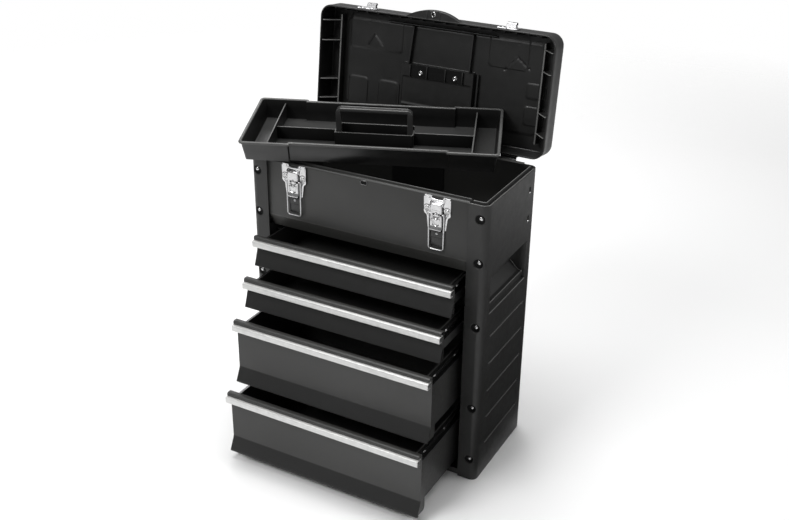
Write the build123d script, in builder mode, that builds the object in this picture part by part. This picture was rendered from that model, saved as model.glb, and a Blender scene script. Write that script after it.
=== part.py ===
"""Portable tool box: a tray compartment under a hinged lid, over four drawers (millimetres).

Frame: X to the right, Y to the back, Z up, origin at the centre of the base.
Rest pose: lid open, drawers drawn out in steps, lift-out tray lying askew on the rims.
"""
import os

from build123d import *

os.makedirs("parts", exist_ok=True)

# ---------------------------------------------------------------- driving dimensions
body_width = 470.0
body_depth = 210.0
body_height = 553.0
cap_width = 35.5            # of each plastic end cap, seen from the front
cap_wall = 3.0
cap_corner = 13.0           # outer radius of the upright corners
sheet = 1.0                 # steel sheet
fit_gap = 0.1               # between sheets that lie on each other
side_gap = 0.7              # between drawer fronts and end caps

flange_lift = 4.0           # of the base pan's flanges, and the sheets on them, above the ground
pan_lip = 12.0
opening_rise = 5.0          # of the drawer opening's top above the uppermost pull strip
floor_rise = 9.0            # of the compartment floor above that strip
fold_rise = 31.0            # of the bend in the front panel above that strip
fold_margin = 12.0          # height of the bent sheet above the bend
skirt_depth = 14.0
hem_depth = 9.5
hem_drop = 6.0
panel_tuck = 11.5           # of the panels behind the end caps
plate_half = 54.0           # black plate on the rear wall of the compartment
plate_thick = 3.0
plate_lift = 4.0            # of the plate above the floor
plate_top_drop = 33.0       # of the plate below the body's top
plug_width, plug_height = 15.0, 7.0     # key plug under the front rim
plug_slot_width, plug_slot_height = 9.0, 2.6
plug_thick = 1.2
plug_drop = 8.0

grip_low, grip_high = 340.0, 415.0      # hand grip in the end cap
grip_front_inset, grip_back_inset = 25.0, 30.0
grip_depth = 29.0
grip_wall = 2.5
grip_lip = 9.0
grip_curl = 2.0
grip_ledge = 6.0            # width of the ledge below the grip
grip_ledge_rise = 14.0
grip_ramp_start = 13.0
grip_ramp_rise = 32.0

rib_heights = (67.0, 123.0, 179.0, 236.0, 292.0)
rib_front_inset, rib_back_inset = 32.0, 31.0
rib_width = 2.6
rib_relief = 0.9

low_rivet_heights = (45.7, 156.7, 322.0)
high_rivet_drops = (108.0, 27.5)        # below the body's top
rivet_inset = 13.0          # of the corner rivets from the side face
rivet_head, rivet_shank = 4.0, 1.9
rivet_dome, rivet_dome_slope = 1.3, 25.0
rivet_length = 3.2
rivet_pocket = 6.8
pocket_depth = 1.6
side_rivet_drops = (98.0, 43.0)
side_rivet_inset = 31.0
side_rivet_head, side_rivet_length = 3.5, 4.5
pin_clearance = 0.05        # radial, in every pin bore

first_top = 411.0           # top of the uppermost pull strip
shallow_pitch = 68.85
deep_pitch = 136.1
shallow_drop = 50.0         # of a front below its strip top
deep_drop = 122.0
strip_height = 14.0
strip_depth = 13.0
strip_wall = 1.4
strip_hook = 4.0            # how much shorter the strip's lower leg is
front_setback = 16.0        # of a drawer front behind its strip
bead_height = 6.0
bead_setback = 6.0
flare = 11.5
flare_foot = 5.0
deep_flare_height = 27.0
return_depth = 17.0
box_side_room = 12.8        # for the slides, between a box and the channels' webs
box_end_room = 27.0         # of a drawer box against the body's depth
box_rim_drop, box_floor_lift = 2.0, 1.0
box_gap = 0.3
slide_height = 19.0
slide_drop = 14.0           # centre of the slide below the strip top
slide_play = 0.4
slide_flange = 6.0
rail_wall = 1.2
channel_lip = 9.0
return_gap = 1.0            # between slide channels and the drawer fronts' side returns
channel_end_room = 26.0     # of a channel against the body's depth
pad_length, pad_height = 16.0, 12.0
front_pad_setback = 60.0    # of the front pads behind the channels' front ends
back_pad_room = 34.0        # of the rear pads in front of the channels' rear ends
screw_head, screw_shank, screw_length = 3.4, 1.5, 2.2
screw_setbacks = (22.0, 112.0)
drawer_holds = (126.5, 90.0, 51.4, 19.8)    # how much of each drawn-out box its slides still hold

latch_x = 142.0
latch_width = 50.0
latch_height = 59.5
latch_top_drop = 4.5        # of the latch plates below the body's top
latch_ear = 32.5            # height of the plate's wide upper part
latch_plate_wall = 1.5
latch_notch = (9.0, 7.0, 9.0)           # half width above and below, depth
latch_shoulder = (5.0, 4.0)             # step in and down under the wide part
latch_foot_inset = 8.0
latch_slot_room = 1.5       # of the slot on each side of the lever
latch_slot_drop = 12.0      # of the slot's top below the wide part
latch_rivet_inset, latch_rivet_rise = 6.5, 9.0
latch_rivet_head, latch_rivet_length = 4.2, 4.5
lever_half = 11.0
lever_lift = 0.5            # of the lever's end above the plate's foot
lever_pin_drop = 12.5       # of the lever's pin below the plate's top
lever_eye = 2.5             # radius of the lever round its pin
lever_depth = 5.0
lever_wall = 1.2
lever_tip, lever_tip_height = 2.5, 8.0
lever_play = 0.5            # between the lever and its plate
lever_pin_stand = 2.2       # of the pin's axis in front of the lever's back
latch_pin_radius = 1.4
latch_pin_overhang = 0.2
bail_pin_drop = 18.0        # of the bail's pivot below the lever's pin
bail_wire = 1.25
bail_half = 14.2
bail_length = 65.0
bail_corner = 2.4
lug_gap = 0.3
lug_wall = 1.2
lug_radius = 3.2

lid_side_overhang = 2.0
lid_front_overhang, lid_back_overhang = 7.0, 3.0
lid_gap = 0.3
lid_height = 47.7
lid_wall = 3.0
lid_corner = 22.0
lid_edge = 9.0              # outer edge round the top of the lid
lid_angle = 97.0            # how far the lid is open
lid_rib_thick = 2.0
lid_rib, side_rib = 10.0, 4.0           # how far the ribs stand out of the walls
lid_rib_pitch, side_rib_pitch = 23.0, 48.0
side_rib_start, side_rib_margin = 28.0, 20.0
lid_rib_lift = 3.0          # of the ribs above the lid's rim
hinge_setback = 9.0         # of the hinge axis behind the body
hinge_drop = 5.0            # of the hinge axis below the body's top
hinge_inset = 46.0          # of the hinge's ends from the body's sides
hinge_barrel, hinge_rod_radius = 3.0, 1.3
hinge_rod_overhang = 1.5
hinge_leaf = 1.2
leaf_height = 22.0
leaf_lift = 3.0
knuckles = 12
knuckle_gap = 0.5
stop_gap = 0.3
stop_inset = 4.0            # of the stop tabs' ends from their knuckle's ends

bulge_half = 56.0           # forward bulge of the lid with the lock eye
bulge_reach = 15.0
bulge_height = 14.0
eye_radius, eye_inset = 3.6, 7.0

well_half = 72.0            # handle well in the top of the lid
well_front_inset, well_length = 93.0, 79.0
well_depth = 12.0
well_wall = 2.0
well_corner = 3.0
island_half = 53.0
island_length = 21.0
island_wall = 3.0
handle_pin_inset = 10.5     # of the handle's pin behind the well's front
handle_pin_drop = 6.5       # of that pin below the lid's top
handle_pin_radius = 2.0
handle_pin_overhang = 1.5
handle_arm = 9.0
handle_thick = 9.0
handle_reach = 60.0
handle_bar, handle_corner = 20.0, 4.0
bracket_thick = 1.6
bracket_screw_x = 35.5
bracket_screw_head, bracket_screw_shank = 4.2, 1.6

catch_half = 15.0
catch_wall = 1.5
catch_lift = 3.7            # of the catches above the lid's rim
catch_height = 31.0
hook_rise = 28.5            # of the hook's groove above the lid's rim
hook_reach = 9.0
catch_rivet_rise, catch_rivet_x = 10.7, 9.0
catch_rivet_head = 3.2

tray_length, tray_height = 446.0, 38.5
tray_depth_room = 32.0      # of the tray against the body's depth
tray_wall = 2.0
tray_draft = 6.0            # inset of the tray bottom
tray_end = 84.0             # length of each wide end section
tray_step = 5.0             # how much narrower the middle is, on each side
tray_rim = 3.0
tray_rim_thick = 2.0
divider_x = 45.0            # of the cross dividers from the tray's ends
divider_drop = 2.0          # of their tops below the tray's rim
long_divider = 22.0         # height of the lengthwise divider
trough_half = 68.5
trough_depth = 20.0
tray_handle_rise = 31.0     # of the handle above the tray rim
tray_handle_bar = 9.0
tray_handle_gap = 0.3       # between the handle and its trough
tray_x, tray_y = -41.0, 7.6             # centre of the tray bottom
tray_lift = 17.5            # of that centre above the body's top
tray_yaw, tray_tilt = 21.8, 6.8

# ---------------------------------------------------------------- derived places
half_width = body_width / 2
half_depth = body_depth / 2
cap_edge = half_width - cap_width
panel_face = -half_depth + cap_wall + fit_gap
panel_half = cap_edge + panel_tuck
rear_face = half_depth - cap_wall - fit_gap
front_half = cap_edge - side_gap
side_inner = cap_edge + 0.5
opening_top = first_top + opening_rise
floor_height = first_top + floor_rise
fold_height = first_top + fold_rise
grip_front, grip_back = -half_depth + grip_front_inset, half_depth - grip_back_inset
rib_front, rib_back = -half_depth + rib_front_inset, half_depth - rib_back_inset
rivet_heights = [*low_rivet_heights, *[body_height - drop for drop in high_rivet_drops]]
side_rivet_heights = [body_height - drop for drop in side_rivet_drops]
side_rivet_y = half_depth - side_rivet_inset
strip_tops = [first_top, first_top - shallow_pitch, first_top - 2 * shallow_pitch]
strip_tops.append(strip_tops[2] - deep_pitch)
drops = [shallow_drop, shallow_drop, deep_drop, deep_drop]

plate_face = panel_face - fit_gap - latch_plate_wall     # front of the latch plates
latch_top = body_height - latch_top_drop
latch_bottom = latch_top - latch_height
latch_taper = latch_top - latch_ear
lever_back = plate_face - lever_play
lever_bottom = latch_bottom + lever_lift
lever_pin_z = latch_top - lever_pin_drop
pin_y = lever_back - lever_pin_stand
bail_pin_z = lever_pin_z - bail_pin_drop
bail_low = bail_pin_z - bail_length

lid_half = half_width + lid_side_overhang
lid_front, lid_back = -half_depth - lid_front_overhang, half_depth + lid_back_overhang
lid_low = body_height + lid_gap
lid_high = lid_low + lid_height
hinge_y, hinge_z = half_depth + hinge_setback, body_height - hinge_drop
hinge_half = half_width - hinge_inset
hinge_axis = Axis((0, hinge_y, hinge_z), (1, 0, 0))
well_front = lid_front + well_front_inset
well_back = well_front + well_length
island_back = well_front + island_length
handle_pin_y, handle_pin_z = well_front + handle_pin_inset, lid_high - handle_pin_drop
well_under = lid_high - well_depth - well_wall

tray_depth = body_depth - tray_depth_room
tray_place = Location((tray_x, tray_y, body_height + tray_lift))
tray_place *= Rotation(0, 0, tray_yaw) * Rotation(tray_tilt, 0, 0)
sides = {"left": -1, "right": 1}


def save(name, part):
    part.label = name
    export_step(part, f"parts/{name}.step")


def across(x, y=0.0):
    """A sketch plane facing +X: its own x runs to the back and its own y runs up."""
    return Plane((x, y, 0), x_dir=(0, 1, 0), z_dir=(1, 0, 0))


def facing_front(y):
    """A sketch plane facing -Y: its own x runs to the right and its own y runs up."""
    return Plane((0, y, 0), x_dir=(1, 0, 0), z_dir=(0, -1, 0))


def opened(part):
    """Turns a lid piece, modelled closed, to the open rest pose."""
    return part.rotate(hinge_axis, -lid_angle)


def folded_sheet(points, half_length, y=0.0, bend=1.5):
    """A steel sheet folded along the given outline, running across the whole width."""
    with BuildPart() as folded:
        with BuildSketch(across(-half_length, y)):
            with BuildLine():
                FilletPolyline(*points, radius=bend)
                offset(amount=sheet, side=Side.LEFT)
            make_face()
        extrude(amount=2 * half_length)
    return folded.part


# ---------------------------------------------------------------- body
def end_cap():
    """The right end cap: an open plastic shell with the hand grip moulded into it."""
    inner_x = half_width - cap_wall
    with BuildPart() as cap:
        with BuildSketch() as outer:
            with Locations((half_width / 2, 0)):
                Rectangle(half_width, body_depth)
            fillet(outer.vertices().group_by(Axis.X)[-1], cap_corner)
        extrude(amount=body_height)
        with BuildSketch(Plane.XY.offset(cap_wall)) as inner:
            with Locations((inner_x / 2, 0)):
                Rectangle(inner_x, body_depth - 2 * cap_wall)
            fillet(inner.vertices().group_by(Axis.X)[-1], cap_corner - cap_wall)
        extrude(amount=body_height, mode=Mode.SUBTRACT)
        with Locations((cap_edge / 2, 0, body_height / 2)):
            Box(cap_edge, 2 * body_depth, 2 * body_height, mode=Mode.SUBTRACT)
        with BuildSketch(Plane.XZ.offset(-grip_back - grip_wall)):
            with BuildLine():
                Polyline(*grip_outline(half_width - 0.5, grip_wall), close=True)
            make_face()
        extrude(amount=grip_back - grip_front + 2 * grip_wall)
        with BuildSketch(Plane.XZ.offset(-grip_back)):
            with BuildLine():
                Polyline(*grip_outline(half_width + 5, 0), close=True)
            make_face()
        extrude(amount=grip_back - grip_front, mode=Mode.SUBTRACT)
        for height in rib_heights:
            with Locations((half_width, (rib_front + rib_back) / 2, height)):
                Box(2 * rib_relief, rib_back - rib_front, rib_width)
        with BuildSketch(Plane.XZ.offset(half_depth)):
            with Locations(*[(half_width - rivet_inset, h) for h in rivet_heights]):
                Circle(rivet_pocket)
        extrude(amount=-pocket_depth, mode=Mode.SUBTRACT)
        with BuildSketch(Plane.XZ.offset(half_depth)):
            with Locations(*[(half_width - rivet_inset, h) for h in rivet_heights]):
                Circle(rivet_shank + pin_clearance)
        extrude(amount=-2 * cap_wall, mode=Mode.SUBTRACT)
        with BuildSketch(Plane.YZ.offset(half_width - 2 * cap_wall)):
            with Locations(*[(side_rivet_y, h) for h in side_rivet_heights]):
                Circle(rivet_shank + pin_clearance)
        extrude(amount=3 * cap_wall, mode=Mode.SUBTRACT)
    return cap.part


def grip_outline(outer, wall):
    """Outline of the hand grip: two ledges, a ramp and a pocket behind an overhanging lip."""
    deep = half_width - grip_depth - wall
    return [
        (outer, grip_low - wall), (half_width - grip_ledge - wall, grip_low + 2 - wall),
        (half_width - grip_ledge - wall, grip_low + grip_ledge_rise - wall),
        (half_width - grip_ramp_start - wall, grip_low + grip_ledge_rise + 2 - wall),
        (deep, grip_low + grip_ramp_rise - wall), (deep, grip_high + grip_curl + wall),
        (half_width - grip_lip, grip_high + grip_curl + wall), (half_width - grip_lip, grip_high + wall),
        (outer, grip_high + wall),
    ]


cap_right = end_cap()
save("end_cap_right", cap_right)
save("end_cap_left", cap_right.mirror(Plane.YZ))


def front_panel():
    """Front sheet with a hemmed top edge, tucked behind the caps, and the inward skirt."""
    inner = panel_face + hem_depth
    flat = [(inner, body_height - hem_drop), (inner, body_height), (panel_face, body_height),
            (panel_face, fold_height + fold_margin)]
    skirt = [(panel_face, fold_height + fold_margin), (panel_face, fold_height),
             (panel_face + skirt_depth, opening_top)]
    with BuildPart() as panel:
        add(folded_sheet(flat, panel_half))
        add(folded_sheet(skirt, front_half))
        with BuildSketch(facing_front(panel_face + sheet + 1)):
            with Locations(*latch_rivet_places()):
                Circle(rivet_shank + pin_clearance)
        extrude(amount=3 * sheet, mode=Mode.SUBTRACT)
    return panel.part


def latch_rivet_places():
    """The two rivets of each latch plate, left and right of its centre line."""
    inset = latch_width / 2 - latch_rivet_inset
    height = latch_taper + latch_rivet_rise
    return [(sign * latch_x + dx, height) for sign in (-1, 1) for dx in (-inset, inset)]


save("front_panel", front_panel())

with BuildPart() as back_panel:
    with BuildSketch(Plane.XY.offset(flange_lift)):
        with Locations((0, rear_face - sheet / 2)):
            Rectangle(2 * panel_half, sheet)
    extrude(amount=body_height - flange_lift)
    with Locations((0, rear_face - hem_depth / 2, body_height - sheet / 2)):
        Box(2 * panel_half, hem_depth, sheet)
save("back_panel", back_panel.part)

floor_front = panel_face + skirt_depth + 2 * sheet
floor_back = rear_face - sheet - fit_gap
with BuildPart() as compartment_floor:
    with BuildSketch(Plane.XY.offset(floor_height)):
        with Locations((0, (floor_front + floor_back) / 2)):
            floor_width = 2 * (half_width - cap_wall - fit_gap)
            RectangleRounded(floor_width, floor_back - floor_front, cap_corner - cap_wall)
    extrude(amount=sheet)
save("compartment_floor", compartment_floor.part)

side_front = panel_face + 2 * sheet + 3 * fit_gap
side_back = rear_face - sheet - fit_gap
for side, sign in sides.items():
    with BuildPart() as side_sheet:
        with BuildSketch(Plane.XY.offset(flange_lift + sheet + fit_gap)):
            with Locations((sign * (side_inner + sheet / 2), (side_front + side_back) / 2)):
                Rectangle(sheet, side_back - side_front)
        extrude(amount=floor_height - flange_lift - sheet - 2 * fit_gap)
    save(f"side_sheet_{side}", side_sheet.part)

pan_back = rear_face - sheet - fit_gap
pan_outline = [(panel_face + sheet, pan_lip), (panel_face + sheet, 0), (pan_back, 0)]
with BuildPart() as base_pan:
    add(folded_sheet(pan_outline, front_half))
    with BuildSketch(Plane.XZ.offset(-pan_back)):
        for sign in (-1, 1):
            with BuildLine():
                riser, edge = sign * front_half, sign * panel_half
                Polyline(
                    (riser, 0), (riser, flange_lift), (edge, flange_lift), (edge, flange_lift + sheet),
                    (riser - sign * sheet, flange_lift + sheet), (riser - sign * sheet, 0), close=True,
                )
            make_face()
    extrude(amount=pan_back - side_front)
save("base_pan", base_pan.part)

plate_low = floor_height + plate_lift
with BuildPart() as back_plate:
    with BuildSketch(Plane.XY.offset(plate_low)):
        with Locations((0, rear_face - sheet - fit_gap - plate_thick / 2)):
            Rectangle(2 * plate_half, plate_thick)
    extrude(amount=body_height - plate_top_drop - plate_low)
save("compartment_back_plate", back_plate.part)

with BuildPart() as lock_plug:
    with BuildSketch(facing_front(panel_face - fit_gap)):
        with Locations((0, body_height - plug_drop)):
            SlotOverall(plug_width, plug_height)
            SlotOverall(plug_slot_width, plug_slot_height, mode=Mode.SUBTRACT)
    extrude(amount=plug_thick)
save("lock_plug", lock_plug.part)


def rivets(places, plane, head, shank, length):
    """Domed rivets standing on the plane, with shanks going back through the sheet."""
    with BuildPart() as group:
        with BuildSketch(plane):
            with Locations(*places):
                Circle(head)
        extrude(amount=rivet_dome, taper=rivet_dome_slope)
        with BuildSketch(plane):
            with Locations(*places):
                Circle(shank)
        extrude(amount=-length)
    return group.part


corner_places = [(sign * (half_width - rivet_inset), h) for sign in (-1, 1) for h in rivet_heights]
pocket_face = facing_front(-half_depth + pocket_depth)
save("corner_rivets", rivets(corner_places, pocket_face, rivet_head, rivet_shank, rivet_length))

with BuildPart() as side_rivets:
    for sign in (-1, 1):
        plane = Plane((sign * half_width, 0, 0), x_dir=(0, sign, 0), z_dir=(sign, 0, 0))
        places = [(sign * side_rivet_y, h) for h in side_rivet_heights]
        add(rivets(places, plane, side_rivet_head, rivet_shank, side_rivet_length))
save("side_rivets", side_rivets.part)


# ---------------------------------------------------------------- drawer slides and drawers
channel_half = slide_height / 2 + slide_play
channel_web = front_half - sheet - return_gap
channel_front = -half_depth + front_setback + 2 * sheet
channel_length = body_depth - channel_end_room
pad_setbacks = (front_pad_setback, channel_length - back_pad_room)
box_half = channel_web - box_side_room
box_length = body_depth - box_end_room
drawer_pulls = [box_length - hold for hold in drawer_holds]
runner_web = box_half + fit_gap

for side, sign in sides.items():
    with BuildPart() as channels:
        for top in strip_tops:
            middle = top - slide_drop
            with BuildSketch(Plane.XZ.offset(-channel_front)):
                with BuildLine():
                    outer = channel_half + rail_wall
                    web, inside = sign * channel_web, sign * (channel_web - rail_wall)
                    lip = sign * (channel_web - channel_lip)
                    Polyline(
                        (lip, middle + outer), (web, middle + outer), (web, middle - outer),
                        (lip, middle - outer), (lip, middle - channel_half), (inside, middle - channel_half),
                        (inside, middle + channel_half), (lip, middle + channel_half), close=True,
                    )
                make_face()
            extrude(amount=-channel_length)
            pad = side_inner - fit_gap - channel_web
            pad_x = sign * (channel_web + pad / 2)
            with Locations(*[(pad_x, channel_front + setback, middle) for setback in pad_setbacks]):
                Box(pad, pad_length, pad_height)
    save(f"slide_channels_{side}", channels.part)


def drawer(number, top, drop, pull):
    """One drawer: its box, folded front, pull strip, runners and screws, drawn out by pull."""
    front = -half_depth - pull                  # outer face of the pull strip
    bottom = top - drop
    face = front_setback
    deep = drop == deep_drop
    flare_start = bottom + deep_flare_height if deep else top - strip_height
    rim = top + bead_height
    outline = [
        (bead_setback, top + 0.3), (bead_setback, rim), (face, rim), (face, flare_start),
        (face - flare, bottom), (face - flare + flare_foot, bottom),
    ]
    with BuildPart() as front_sheet:
        add(folded_sheet(outline, front_half, front))
        for sign in (-1, 1):
            edge = sign * front_half if sign < 0 else front_half - sheet
            with BuildSketch(across(edge, front)):
                with BuildLine():
                    Polyline(
                        (face + 0.2, top), (face + return_depth, top), (face + return_depth, bottom),
                        (face - flare + 0.6, bottom), (face + 0.2, flare_start), close=True,
                    )
                make_face()
            extrude(amount=sheet)
    save(f"drawer_{number}_front", front_sheet.part)

    with BuildPart() as strip:
        with BuildSketch(across(-front_half, front)):
            with BuildLine():
                Polyline(
                    (0, top - strip_height), (0, top), (strip_depth, top), (strip_depth, top - strip_wall),
                    (strip_wall, top - strip_wall), (strip_wall, top - strip_height + strip_wall),
                    (strip_depth - strip_hook, top - strip_height + strip_wall),
                    (strip_depth - strip_hook, top - strip_height), close=True,
                )
            make_face()
        extrude(amount=2 * front_half)
    save(f"drawer_{number}_strip", strip.part)

    box_front = front + face + sheet + box_gap
    box_top, box_bottom = top - box_rim_drop, bottom + box_floor_lift
    slide_z = top - slide_drop
    screw_y = [box_front + setback for setback in screw_setbacks]
    with BuildPart() as box:
        with BuildSketch(Plane.XY.offset(box_bottom)):
            with Locations((0, box_front + box_length / 2)):
                Rectangle(2 * box_half, box_length)
        extrude(amount=box_top - box_bottom)
        with BuildSketch(Plane.XY.offset(box_bottom + sheet)):
            with Locations((0, box_front + box_length / 2)):
                Rectangle(2 * (box_half - sheet), box_length - 2 * sheet)
        extrude(amount=box_top, mode=Mode.SUBTRACT)
        with BuildSketch(Plane.YZ.offset(-body_width)):
            with Locations(*[(y, slide_z) for y in screw_y]):
                Circle(screw_shank + pin_clearance)
        extrude(amount=2 * body_width, mode=Mode.SUBTRACT)
    save(f"drawer_{number}_box", box.part)

    with BuildPart() as runners:
        for sign in (-1, 1):
            reach = sign * (runner_web + slide_flange)
            web, inside = sign * runner_web, sign * (runner_web + rail_wall)
            half = slide_height / 2
            with BuildSketch(Plane.XZ.offset(-box_front - 1)):
                with BuildLine():
                    Polyline(
                        (web, slide_z - half), (web, slide_z + half), (reach, slide_z + half),
                        (reach, slide_z + half - rail_wall), (inside, slide_z + half - rail_wall),
                        (inside, slide_z - half + rail_wall), (reach, slide_z - half + rail_wall),
                        (reach, slide_z - half), close=True,
                    )
                make_face()
            extrude(amount=-(box_length - 2))
        with BuildSketch(Plane.YZ.offset(-body_width)):
            with Locations(*[(y, slide_z) for y in screw_y]):
                Circle(screw_shank + pin_clearance)
        extrude(amount=2 * body_width, mode=Mode.SUBTRACT)
    save(f"drawer_{number}_runners", runners.part)

    with BuildPart() as screws:
        for sign in (-1, 1):
            seat = sign * (runner_web + rail_wall + fit_gap)
            plane = Plane((seat, 0, 0), x_dir=(0, sign, 0), z_dir=(sign, 0, 0))
            places = [(sign * y, slide_z) for y in screw_y]
            add(rivets(places, plane, screw_head, screw_shank, screw_length))
    save(f"drawer_{number}_screws", screws.part)


for index in range(4):
    drawer(index + 1, strip_tops[index], drops[index], drawer_pulls[index])


# ---------------------------------------------------------------- latches on the front panel
def plate_outline(x):
    """Outline of a latch plate: a wide part with a notch on top, and two feet beside a slot."""
    half = latch_width / 2
    wide, narrow, notch_low = latch_notch[0], latch_notch[1], latch_top - latch_notch[2]
    shoulder, shoulder_low = half - latch_shoulder[0], latch_taper - latch_shoulder[1]
    foot, slot = half - latch_foot_inset, lever_half + latch_slot_room
    slot_top = latch_taper - latch_slot_drop
    right = [
        (narrow, notch_low), (wide, latch_top), (half, latch_top), (half, latch_taper),
        (shoulder, shoulder_low), (foot, latch_bottom), (slot, latch_bottom), (slot, slot_top),
    ]
    return [(x + dx, z) for dx, z in right] + [(x - dx, z) for dx, z in reversed(right)]


def latch(side, sign):
    """One draw latch: its plate, the lever hinged between two lugs, the pin and the wire bail."""
    x = sign * latch_x
    rivet_dx = latch_width / 2 - latch_rivet_inset
    with BuildPart() as plate:
        with BuildSketch(facing_front(panel_face - fit_gap)):
            with BuildLine():
                Polyline(*plate_outline(x), close=True)
            make_face()
            with Locations((x - rivet_dx, latch_taper + latch_rivet_rise),
                           (x + rivet_dx, latch_taper + latch_rivet_rise)):
                Circle(rivet_shank + pin_clearance, mode=Mode.SUBTRACT)
        extrude(amount=latch_plate_wall)
        for lug in (-1, 1):
            lug_x = x + lug * (lever_half + lug_gap + lug_wall / 2)
            with BuildSketch(Plane.YZ.offset(lug_x - lug_wall / 2)):
                root = plate_face + latch_plate_wall / 3
                with Locations((pin_y, lever_pin_z)):
                    Circle(lug_radius)
                with Locations(((pin_y + root) / 2, lever_pin_z)):
                    Rectangle(root - pin_y, 2 * lug_radius)
                with Locations((pin_y, lever_pin_z)):
                    Circle(latch_pin_radius + pin_clearance, mode=Mode.SUBTRACT)
            extrude(amount=lug_wall)
    save(f"latch_plate_{side}", plate.part)

    front_face = lever_back - lever_depth
    with BuildPart() as lever:
        with BuildSketch(Plane.YZ.offset(x - lever_half)):
            with BuildLine():
                Polyline(
                    (lever_back, lever_pin_z), (front_face + 0.3, lever_pin_z),
                    (front_face, lever_pin_z - 1), (front_face, lever_bottom + lever_tip_height),
                    (front_face - lever_tip, lever_bottom),
                    (lever_back, lever_bottom + lever_tip_height / 2), close=True,
                )
            make_face()
            with Locations((pin_y, lever_pin_z)):
                Circle(lever_eye)
        extrude(amount=2 * lever_half)
        with BuildSketch(Plane.YZ.offset(x - lever_half + lever_wall)):
            with BuildLine():
                hollow_top = lever_pin_z - lever_eye - 1.5
                Polyline(
                    (lever_back + 1, hollow_top), (front_face + lever_wall, hollow_top),
                    (front_face + lever_wall, lever_bottom + lever_tip_height - 1),
                    (front_face - lever_tip + 1.5, lever_bottom - 1), (lever_back + 1, lever_bottom - 1),
                    close=True,
                )
            make_face()
        extrude(amount=2 * (lever_half - lever_wall), mode=Mode.SUBTRACT)
        with BuildSketch(Plane.YZ.offset(x - lever_half - 1)):
            with Locations((pin_y, lever_pin_z)):
                Circle(latch_pin_radius + pin_clearance)
            with Locations((pin_y, bail_pin_z)):
                Circle(bail_wire + pin_clearance)
        extrude(amount=2 * lever_half + 2, mode=Mode.SUBTRACT)
    save(f"latch_lever_{side}", lever.part)

    with BuildPart() as bail:
        leg, end = bail_half, lever_half - 2 * bail_wire
        with BuildLine():
            FilletPolyline(
                (x + end, pin_y, bail_pin_z), (x + leg, pin_y, bail_pin_z), (x + leg, pin_y, bail_low),
                (x - leg, pin_y, bail_low), (x - leg, pin_y, bail_pin_z), (x - end, pin_y, bail_pin_z),
                radius=bail_corner,
            )
        with BuildSketch(Plane((x + end, pin_y, bail_pin_z), z_dir=(1, 0, 0))):
            Circle(bail_wire)
        sweep()
    save(f"latch_bail_{side}", bail.part)


for side, sign in sides.items():
    latch(side, sign)

with BuildPart() as latch_pins:
    for sign in (-1, 1):
        pin_half = lever_half + lug_gap + lug_wall + latch_pin_overhang
        with BuildSketch(Plane.YZ.offset(sign * latch_x - pin_half)):
            with Locations((pin_y, lever_pin_z)):
                Circle(latch_pin_radius)
        extrude(amount=2 * pin_half)
save("latch_pins", latch_pins.part)
latch_rivet_plane = facing_front(plate_face)
save("latch_rivets", rivets(latch_rivet_places(), latch_rivet_plane, latch_rivet_head, rivet_shank,
                            latch_rivet_length))


# ---------------------------------------------------------------- lid, modelled closed, then opened
def rounded_plan(half, front, back, radius):
    """Adds the lid's outline, seen from above, to the current sketch."""
    with Locations((0, (front + back) / 2)):
        RectangleRounded(2 * half, back - front, radius)


bracket_screw_places = [(sign * bracket_screw_x, (well_front + island_back) / 2) for sign in (-1, 1)]


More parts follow.
